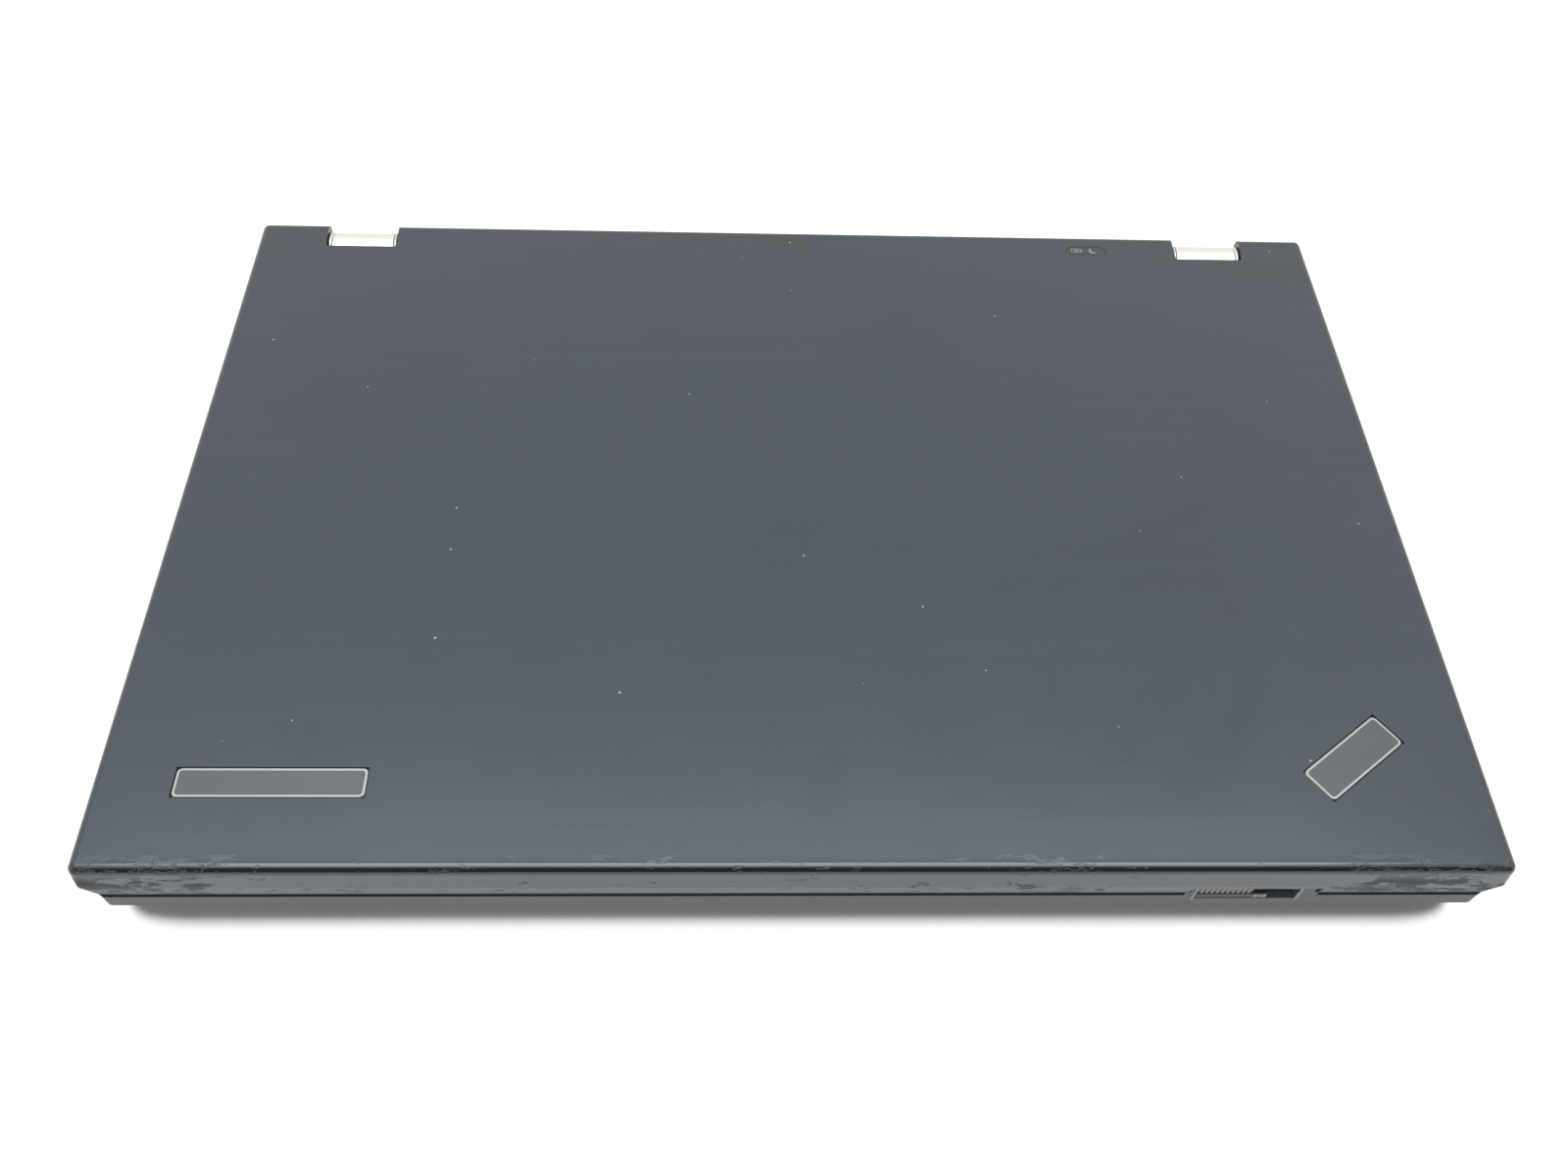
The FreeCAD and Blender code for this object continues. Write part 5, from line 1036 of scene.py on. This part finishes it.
# Turned profiles: radius and depth under the top in millimetres, from the lower end to the middle of the top
STEM_RADIUS = 1.5
STICK_CAP = [(STEM_RADIUS, 3.4), (3.0, 3.4), (3.2, 3.1), (3.2, 1.0), (3.0, 0.4), (2.5, 0.05), (2.0, 0.0),
             (1.3, 0.15), (0.4, 0.25)]
STICK_DOT = [(0.22, 0.3), (0.2, 0.08), (0.08, 0.0)]
POWER_LEDGE = 6.3
POWER_RIM = 5.0
POWER_CAP = [(POWER_RIM, 0.35), (POWER_RIM - 0.35, 0.0), (POWER_RIM - 1.2, 0.12), (0.5, 0.2)]
# Ring radius and number of the stick's dots
DOT_RINGS = [(mm(0.9), 6), (mm(1.7), 12)]
BUTTON_LEDGE = mm(1.3)
FLANGE = mm(1.0)
SIGN_THICK = mm(0.03)
# The turns, in degrees, of the bars on each sound button
SOUND_MARKS = {"mute_button": (45, 135), "volume_down_button": (0,), "volume_up_button": (0, 90)}


def below(top, pairs):
    """Radius and height pairs from a profile's radii and depths."""
    return [(mm(radius), top - mm(depth)) for radius, depth in pairs]


def flat_turn(x, y, degrees):
    """Turned about Z, then moved in X and Y."""
    return Matrix.Translation((x, y, 0)) @ Matrix.Rotation(math.radians(degrees), 4, "Z")


def make_stick():
    """The pointing stick: a soft cap with a hollowed, dotted top on a slim stem."""
    low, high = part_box("pointer_stick")
    centre = box_middle("pointer_stick")
    form = bmesh.new()
    add_lathe(form, [(mm(STEM_RADIUS), low.z)] + below(high.z, STICK_CAP), centre)
    for ring, count in DOT_RINGS:
        for index in range(count):
            angle = 2 * math.pi * index / count
            spot = (centre.x + ring * math.cos(angle), centre.y + ring * math.sin(angle))
            add_lathe(form, below(high.z, STICK_DOT), spot, 8)
    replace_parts(finished(form, "stick_cap", RUBBER, "base"), "pointer_stick")


def make_deck_buttons():
    """Buttons with soft edges, on ledges that hold them under the deck."""
    cap_edges = mm(1.0, 0.4)
    ledge_edges = mm(0.5, 0.1)
    for name in DECK_BUTTONS:
        low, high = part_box(name)
        x = (low.x, high.x)
        form = bmesh.new()
        add_block(form, x, (low.y + BUTTON_LEDGE, high.y - BUTTON_LEDGE), (low.z, high.z), *cap_edges)
        add_block(form, x, (low.y, high.y), (low.z, low.z + FLANGE), *ledge_edges)
        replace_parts(finished(form, f"{name}_cap", BUTTON, name), name)
    low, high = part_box("power_button")
    ledge, rim = mm(POWER_LEDGE, POWER_RIM)
    profile = [(ledge, low.z), (ledge, low.z + FLANGE), (rim, low.z + FLANGE)]
    form = bmesh.new()
    add_lathe(form, profile + below(high.z, POWER_CAP), box_middle("power_button"))
    cap = finished(form, "power_button_cap", BUTTON, "power_button")
    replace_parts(cap, "power_button")


def make_button_marks():
    """Plain signs: a switch ring on the power button, bars on the sound buttons."""
    centre = box_middle("power_button")
    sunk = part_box("power_button")[1].z - mm(0.18)
    thick = mm(0.1)
    ring = mm(1.5, 1.9)
    stroke = mm(0.45, 1.7)
    stroke_up = mm(1.6)
    sound_bar = mm(2.6, 0.5)
    form = bmesh.new()
    add_flat(form, arc_outline(centre, *ring, 120, 420), sunk, thick)
    add_bar(form, (centre.x, centre.y + stroke_up), *stroke, sunk, thick)
    finished(form, "power_mark", INK, "power_button")
    for name, turns in SOUND_MARKS.items():
        centre = box_middle(name)
        form = bmesh.new()
        for degrees in turns:
            turn = flat_turn(centre.x, centre.y, degrees)
            add_bar(form, (0, 0), *sound_bar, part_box(name)[1].z, SIGN_THICK, turn)
        finished(form, f"{name}_mark", INK, name)


# Lid

# Place, turn in degrees, length and width of each bare plate
PLATES = [(mm(-139.6, -97.0), 0.0, mm(50.0), mm(8.8)), (mm(150.2, -89.0), 36.6, mm(30.0), mm(11.0))]
# The bars of the battery sign in millimetres: place, length and width
BATTERY_BARS = [(0.0, -0.85, 3.2, 0.28), (0.0, 0.85, 3.2, 0.28), (-1.6, 0.0, 0.28, 1.9),
                (1.6, 0.0, 0.28, 1.9), (1.95, 0.0, 0.4, 0.8), (-0.3, 0.0, 0.55, 1.1), (0.6, 0.0, 0.55, 1.1)]


def make_badge_plates():
    """Two bare plates: a polished rim round a brushed panel."""
    low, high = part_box("badge_plates")
    inset = mm(0.9)
    rim_edges = mm(1.6, 0.3)
    panel_edges = mm(0.9, 0.05)
    panel_z = (high.z - mm(0.2), high.z + mm(0.06))
    rims = bmesh.new()
    panels = bmesh.new()
    for at, degrees, length, width in PLATES:
        turn = flat_turn(*at, degrees)
        x = (-length / 2, length / 2)
        y = (-width / 2, width / 2)
        inner_x = (x[0] + inset, x[1] - inset)
        inner_y = (y[0] + inset, y[1] - inset)
        add_block(rims, x, y, (low.z, high.z), *rim_edges, turn)
        add_block(panels, inner_x, inner_y, panel_z, *panel_edges, turn)
    rim = finished(rims, "badge_rims", BADGE, "lid")
    panel = finished(panels, "badge_panels", GUNMETAL, "lid")
    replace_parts(rim, "badge_plates")
    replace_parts(panel, "badge_plates")


def crescent_outline(centre, radius, bite, bite_radius):
    """A round with a smaller round bitten out of it, as one closed outline."""
    apart = math.hypot(*bite)
    toward = math.degrees(math.atan2(bite[1], bite[0]))
    reach = (apart ** 2 + radius ** 2 - bite_radius ** 2) / (2 * apart)
    half = math.degrees(math.acos(reach / radius))
    bite_half = math.degrees(math.acos((reach - apart) / bite_radius))
    bite_centre = (centre[0] + bite[0], centre[1] + bite[1])
    outer = arc_points(centre, radius, toward + half, toward + 360 - half, CRESCENT_STEPS)
    inner = arc_points(bite_centre, bite_radius, toward - bite_half, toward + bite_half - 360,
                       CRESCENT_STEPS)
    return outer + inner[1:-1]


def make_status_marks():
    """A battery sign and a crescent in the status window."""
    low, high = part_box("status_window")
    x = (low.x + high.x) / 2
    y = (low.y + high.y) / 2 + mm(0.9)
    battery_x = x - mm(3.4)
    moon_x = x + mm(2.6)
    moon_radius, bite_radius = mm(1.45, 1.22)
    bite = mm(0.50, 0.44)
    form = bmesh.new()
    for off_x, off_y, length, width in BATTERY_BARS:
        add_bar(form, (battery_x + mm(off_x), y + mm(off_y)), *mm(length, width), high.z, SIGN_THICK)
    add_flat(form, crescent_outline((moon_x, y), moon_radius, bite, bite_radius), high.z, SIGN_THICK)
    finished(form, "status_marks", FAINT_INK, "lid")


def make_camera_ring():
    low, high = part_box("camera_module")
    inner, outer, length = mm(1.3, 2.3, 0.2)
    proud = mm(0.08)
    form = bmesh.new()
    add_tube(form, (0, (low.y + high.y) / 2, low.z - proud), inner, outer, length)
    finished(form, "camera_ring", STEEL, "lid")


# Latch, seams, hinges, screws, feet and grilles

BASE_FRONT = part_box("palm_rest")[0].y
THIN_EDGE = mm(0.05)
BASE_SCREWS = [(-60.0, -106.05), (60.0, -106.05), (-112.0, 112.05), (112.0, 112.05)]
BEZEL_SCREWS = [(-90.0, -112.55), (90.0, -112.55), (-60.0, 108.05), (60.0, 108.05)]
SCREW_SIZES = {"Head": mm(2.4), "Head Height": mm(1.0), "Shank": mm(1.2), "Length": mm(7.0),
               "Slot": mm(0.65)}


def block_piece(name, finish, body, x, y, z, radius, bevel, turn=None, slot=None):
    """A piece that is one block."""
    form = bmesh.new()
    add_block(form, x, y, z, radius, bevel, turn)
    return finished(form, name, finish, body)


def make_latch_slider():
    """The lid latch: a ribbed thumb piece with a ledge that carries the unlock sign."""
    name = "latch_slider"
    low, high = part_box(name)
    thumb_end = low.x + mm(15.5)
    thumb_front = low.y + mm(0.7)
    ledge_top = low.z + mm(2.4)
    ledge_front = low.y + mm(0.1)
    edges = mm(0.3, 0.2)
    thumb = block_piece("latch_thumb", LATCH, name, (low.x, thumb_end), (thumb_front, high.y),
                        (low.z + mm(0.1), high.z), *edges, slot="key_plastic")
    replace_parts(thumb, name)
    ledge = block_piece("latch_ledge", KEY, name, (low.x, high.x), (ledge_front, high.y),
                        (low.z, ledge_top), *edges, slot="key_plastic")
    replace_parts(ledge, name)
    ribs = grown_mesh("latch_ribs", LATCH_RIBS, {"Count": 10, "Pitch": mm(1.42), "Radius": mm(0.5),
                                                 "Length": high.z - ledge_top - mm(0.3)})
    grip = at_wall(FACE_FRONT, (low.x + thumb_end) / 2, thumb_front, (ledge_top + high.z) / 2)
    placed("latch_ribs", ribs, name, grip)
    wall = at_wall(FACE_FRONT, (thumb_end + high.x) / 2, ledge_front, low.z + mm(1.2))
    plate_x = mm(-1.75, 1.75)
    plate_y = mm(-0.95, 0.95)
    plate_z = mm(-0.02, 0.05)
    plate_edges = mm(0.3, 0.02)
    block_piece("latch_mark_plate", MARK_PLATE, name, plate_x, plate_y, plate_z, *plate_edges, wall)
    # An open lock: its body's middle, length and height, and its shackle's middle and radii
    lock_body = (mm(-0.15, -0.3), *mm(1.1, 0.7))
    shackle = (mm(0.45, 0.1), *mm(0.3, 0.45))
    sign = bmesh.new()
    add_bar(sign, *lock_body, plate_z[1], SIGN_THICK, wall)
    add_flat(sign, arc_outline(*shackle, 0, 180, 10), plate_z[1], SIGN_THICK, wall)
    finished(sign, "latch_sign", KEY, name)


def make_latch_frame():
    """Pale worn edges at both ends of the latch's slot."""
    left, right = mm(105.3, 133.0)
    rim = mm(0.7)
    y = (BASE_FRONT - mm(0.12), BASE_FRONT + mm(0.1))
    z = (mm(15.3) - rim, mm(21.5) + rim)
    form = bmesh.new()
    for x in ((left - rim, left), (right, right + rim)):
        add_block(form, x, y, z, THIN_EDGE, THIN_EDGE)
    finished(form, "latch_frame", MARK_PLATE, "base")


def make_seam_shade_strips():
    """A dark strip of painted shade under the lid's edge, where the seam lies in shade: front, front corners
    and sides, open at the latch.
    """
    low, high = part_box("palm_rest")
    bulge = mm(0.1)
    sunk = mm(0.3)
    corner = mm(3.0)
    rear_end = mm(104.0)
    latch_gap = mm(102.2, 138.6)
    z = mm(17.6, 19.0)
    form = bmesh.new()
    for x in ((low.x + corner, latch_gap[0]), (latch_gap[1], high.x - corner)):
        add_block(form, x, (low.y - bulge, low.y + sunk), z, THIN_EDGE, THIN_EDGE)
    for x in ((low.x - bulge, low.x + sunk), (high.x - sunk, high.x + bulge)):
        add_block(form, x, (low.y + corner, rear_end), z, THIN_EDGE, THIN_EDGE)
    for x, start in ((low.x + corner, 180), (high.x - corner, 270)):
        outline = arc_outline((x, low.y + corner), corner - sunk, corner + bulge, start, start + 90, 8)
        add_flat(form, outline, z[0], z[1] - z[0])
    finished(form, "lid_seam_shade_strip", SHADE_STRIP_FINISH, "base")


def make_hinge_washers():
    """Bright collars that carry each hinge tower's barrel out to the sides of its notch."""
    axis = Matrix.Translation(mm(0, 116.55, 28.5)) @ ALONG_X
    tower_middles = mm(-150.3, 150.3)
    from_middle = mm(11.35)
    inner, outer, length = mm(2.6, 6.0, 1.1)
    form = bmesh.new()
    for middle in tower_middles:
        for side in (-1, 1):
            start = middle + side * from_middle - length / 2
            add_tube(form, (0, 0, start), inner, outer, length, axis)
    finished(form, "hinge_washers", HINGE, "base")


def make_screws():
    for name, body, places in (("base_screws", "base", BASE_SCREWS), ("bezel_screws", "lid", BEZEL_SCREWS)):
        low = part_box(name)[0].z
        mesh = grown_mesh(name, CROSS_SCREWS, SCREW_SIZES, [(*mm(x, y), low) for x, y in places])
        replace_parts(placed(f"{name}_slotted", mesh, body), name)


def make_feet():
    """Rubber pads with round corners and a ribbed sole."""
    low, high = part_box("rubber_feet")
    length, width = mm(30.0, 10.0)
    sole = mm(0.3)
    pad_edges = mm(3.0, 0.4)
    rib_sizes = {"Count": 9, "Pitch": mm(2.8), "Radius": sole, "Length": width - mm(2.4)}
    pads = bmesh.new()
    for x in ((low.x, low.x + length), (high.x - length, high.x)):
        for y in ((low.y, low.y + width), (high.y - width, high.y)):
            add_block(pads, x, y, (sole, high.z), *pad_edges)
            ribs = grown_mesh("sole_ribs", RUBBER_RIBS, rib_sizes)
            ribs.transform(Matrix.Translation((sum(x) / 2, sum(y) / 2, sole)))
            pads.from_mesh(ribs)
            bpy.data.meshes.remove(ribs)
    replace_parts(finished(pads, "foot_pads", RUBBER, "base"), "rubber_feet")


def make_grilles():
    low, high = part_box("speaker_grilles")
    width = mm(26.0)
    thick = mm(0.9)
    sizes = {"Width": width, "Depth": high.y - low.y, "Thickness": thick, "Hole": mm(0.75),
             "Columns": 11, "Rows": 40, "Margin": mm(4.0)}
    for side, name in ((-1, "grille_left"), (1, "grille_right")):
        mesh = grown_mesh(name, GRILLE_PLATE, sizes)
        move = Matrix.Translation((side * (high.x - width / 2), (low.y + high.y) / 2, high.z - thick))
        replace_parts(placed(name, mesh, "base", move), "speaker_grilles")


# Sockets, drive front and board

LEFT_WALL, RIGHT_WALL, REAR_WALL = mm(-184.9, 184.9, 121.05)
USB_WALLS = [at_wall(FACE_LEFT, LEFT_WALL, *mm(81.55, 10.1)),
             at_wall(FACE_LEFT, LEFT_WALL, *mm(96.55, 10.1)),
             at_wall(FACE_RIGHT, RIGHT_WALL, *mm(50.0, 6.5))]
# Extents of a USB tongue across, upwards and inwards
TONGUE = (mm(-5.6, 5.6), mm(0.2, 2.0), mm(-12.5, -1.2))
TONGUE_EDGES = mm(0.3, 0.2)
CONTACT_EDGES = mm(0.1, 0.05)
# Number, pitch and width of a socket's contacts, and their extents upwards and inwards
USB_CONTACTS = (4, *mm(2.5, 1.0), mm(-0.02, 0.25), mm(-11.0, -2.2))
NETWORK_CONTACTS = (8, *mm(1.2, 0.5), mm(3.2, 3.8), mm(-11.5, -2.0))


def add_contacts(form, count, pitch, width, y, z, wall):
    """A row of flat contacts, side by side."""
    for index in range(count):
        middle = (index - (count - 1) / 2) * pitch
        add_block(form, (middle - width / 2, middle + width / 2), y, z, *CONTACT_EDGES, wall)


def make_data_sockets():
    """Tongues in the USB sockets, and contacts in these and the network socket."""
    tongues = bmesh.new()
    contacts = bmesh.new()
    for wall in USB_WALLS:
        add_block(tongues, *TONGUE, *TONGUE_EDGES, wall)
        add_contacts(contacts, *USB_CONTACTS, wall)
    network = at_wall(FACE_REAR, mm(-126.7), REAR_WALL, mm(9.1))
    add_contacts(contacts, *NETWORK_CONTACTS, network)
    finished(tongues, "usb_tongues", SOCKET, "base")
    finished(contacts, "socket_contacts", GOLD, "base")


def make_socket_rims():
    """Metal rims round the audio socket and the power inlet."""
    audio = at_wall(FACE_RIGHT, RIGHT_WALL, *mm(68.0, 7.1))
    power = at_wall(FACE_REAR, mm(126.7), REAR_WALL, mm(9.1))
    rims = bmesh.new()
    # Each rim's wall, and in millimetres where it starts, its radii and its length
    for wall, start, inner, outer, length in ((audio, -1.2, 1.85, 2.9, 1.4), (power, -1.0, 3.75, 4.7, 1.1)):
        add_tube(rims, mm(0, 0, start), *mm(inner, outer, length), wall)
    finished(rims, "socket_rims", STEEL, "base")


def make_video_socket():
    """The monitor socket: a coloured insert, its pins and two screw posts."""
    low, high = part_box("display_port")
    wall = at_wall(FACE_LEFT, LEFT_WALL, (low.y + high.y) / 2, (low.z + high.z) / 2)
    insert_x = mm(-7.4, 7.4)
    insert_y = mm(-3.2, 3.2)
    insert_z = mm(-5.5, -1.4)
    insert_edges = mm(1.6, 0.3)
    block_piece("video_insert", VIDEO, "base", insert_x, insert_y, insert_z, *insert_edges, wall)
    across, up = 2.3, 2.0
    pins = [(*mm(column * across, row * up), insert_z[1]) for row in (-1, 0, 1) for column in range(-2, 3)]
    mesh = grown_mesh("video_pins", GOLD_STUDS, {"Radius": mm(0.42), "Height": mm(0.5)}, pins)
    placed("video_pins", mesh, "base", wall)
    post_middles = mm(-12.0, 12.0)
    post_start = mm(-0.4)
    inner, outer, length = mm(1.4, 2.4, 1.5)
    posts = bmesh.new()
    for x in post_middles:
        add_tube(posts, (x, 0, post_start), inner, outer, length, wall, steps=6)
    finished(posts, "video_posts", STEEL, "base", crease=20.0)


def make_tray_front():
    """The drive's lamp and the small round hole for a stuck tray, on its front."""
    low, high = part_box("optical_tray")
    wall = at_wall(FACE_RIGHT, high.x, mm(-40.0), (low.z + high.z) / 2)
    lamp_x = mm(-2.2, 2.2)
    lamp_y = mm(-0.6, 0.6)
    lamp_z = mm(-0.3, 0.06)
    lamp_edges = mm(0.55, 0.05)
    block_piece("tray_lamp", INK, "optical_tray", lamp_x, lamp_y, lamp_z, *lamp_edges, wall)
    hole_at = mm(12.0, 0, -0.4)
    inner, outer, length = mm(0.5, 0.9, 0.45)
    hole = bmesh.new()
    add_tube(hole, hole_at, inner, outer, length, wall, steps=16)
    finished(hole, "tray_pinhole", SOCKET, "optical_tray")


def make_board_parts():
    sizes = {"Width": mm(68.0), "Depth": mm(42.0), "Density": 30000.0, "Seed": 7}
    middle = (*mm(-31.0, -12.0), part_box("mainboard")[1].z)
    mesh = grown_mesh("board_parts", BOARD_PARTS, sizes)
    placed("board_parts", mesh, "base", Matrix.Translation(middle))


make_keyboard()
make_stick()
make_deck_buttons()
make_button_marks()
make_badge_plates()
make_status_marks()
make_camera_ring()
make_latch_slider()
make_latch_frame()
make_seam_shade_strips()
make_hinge_washers()
make_screws()
make_feet()
make_grilles()
make_data_sockets()
make_socket_rims()
make_video_socket()
make_tray_front()
make_board_parts()
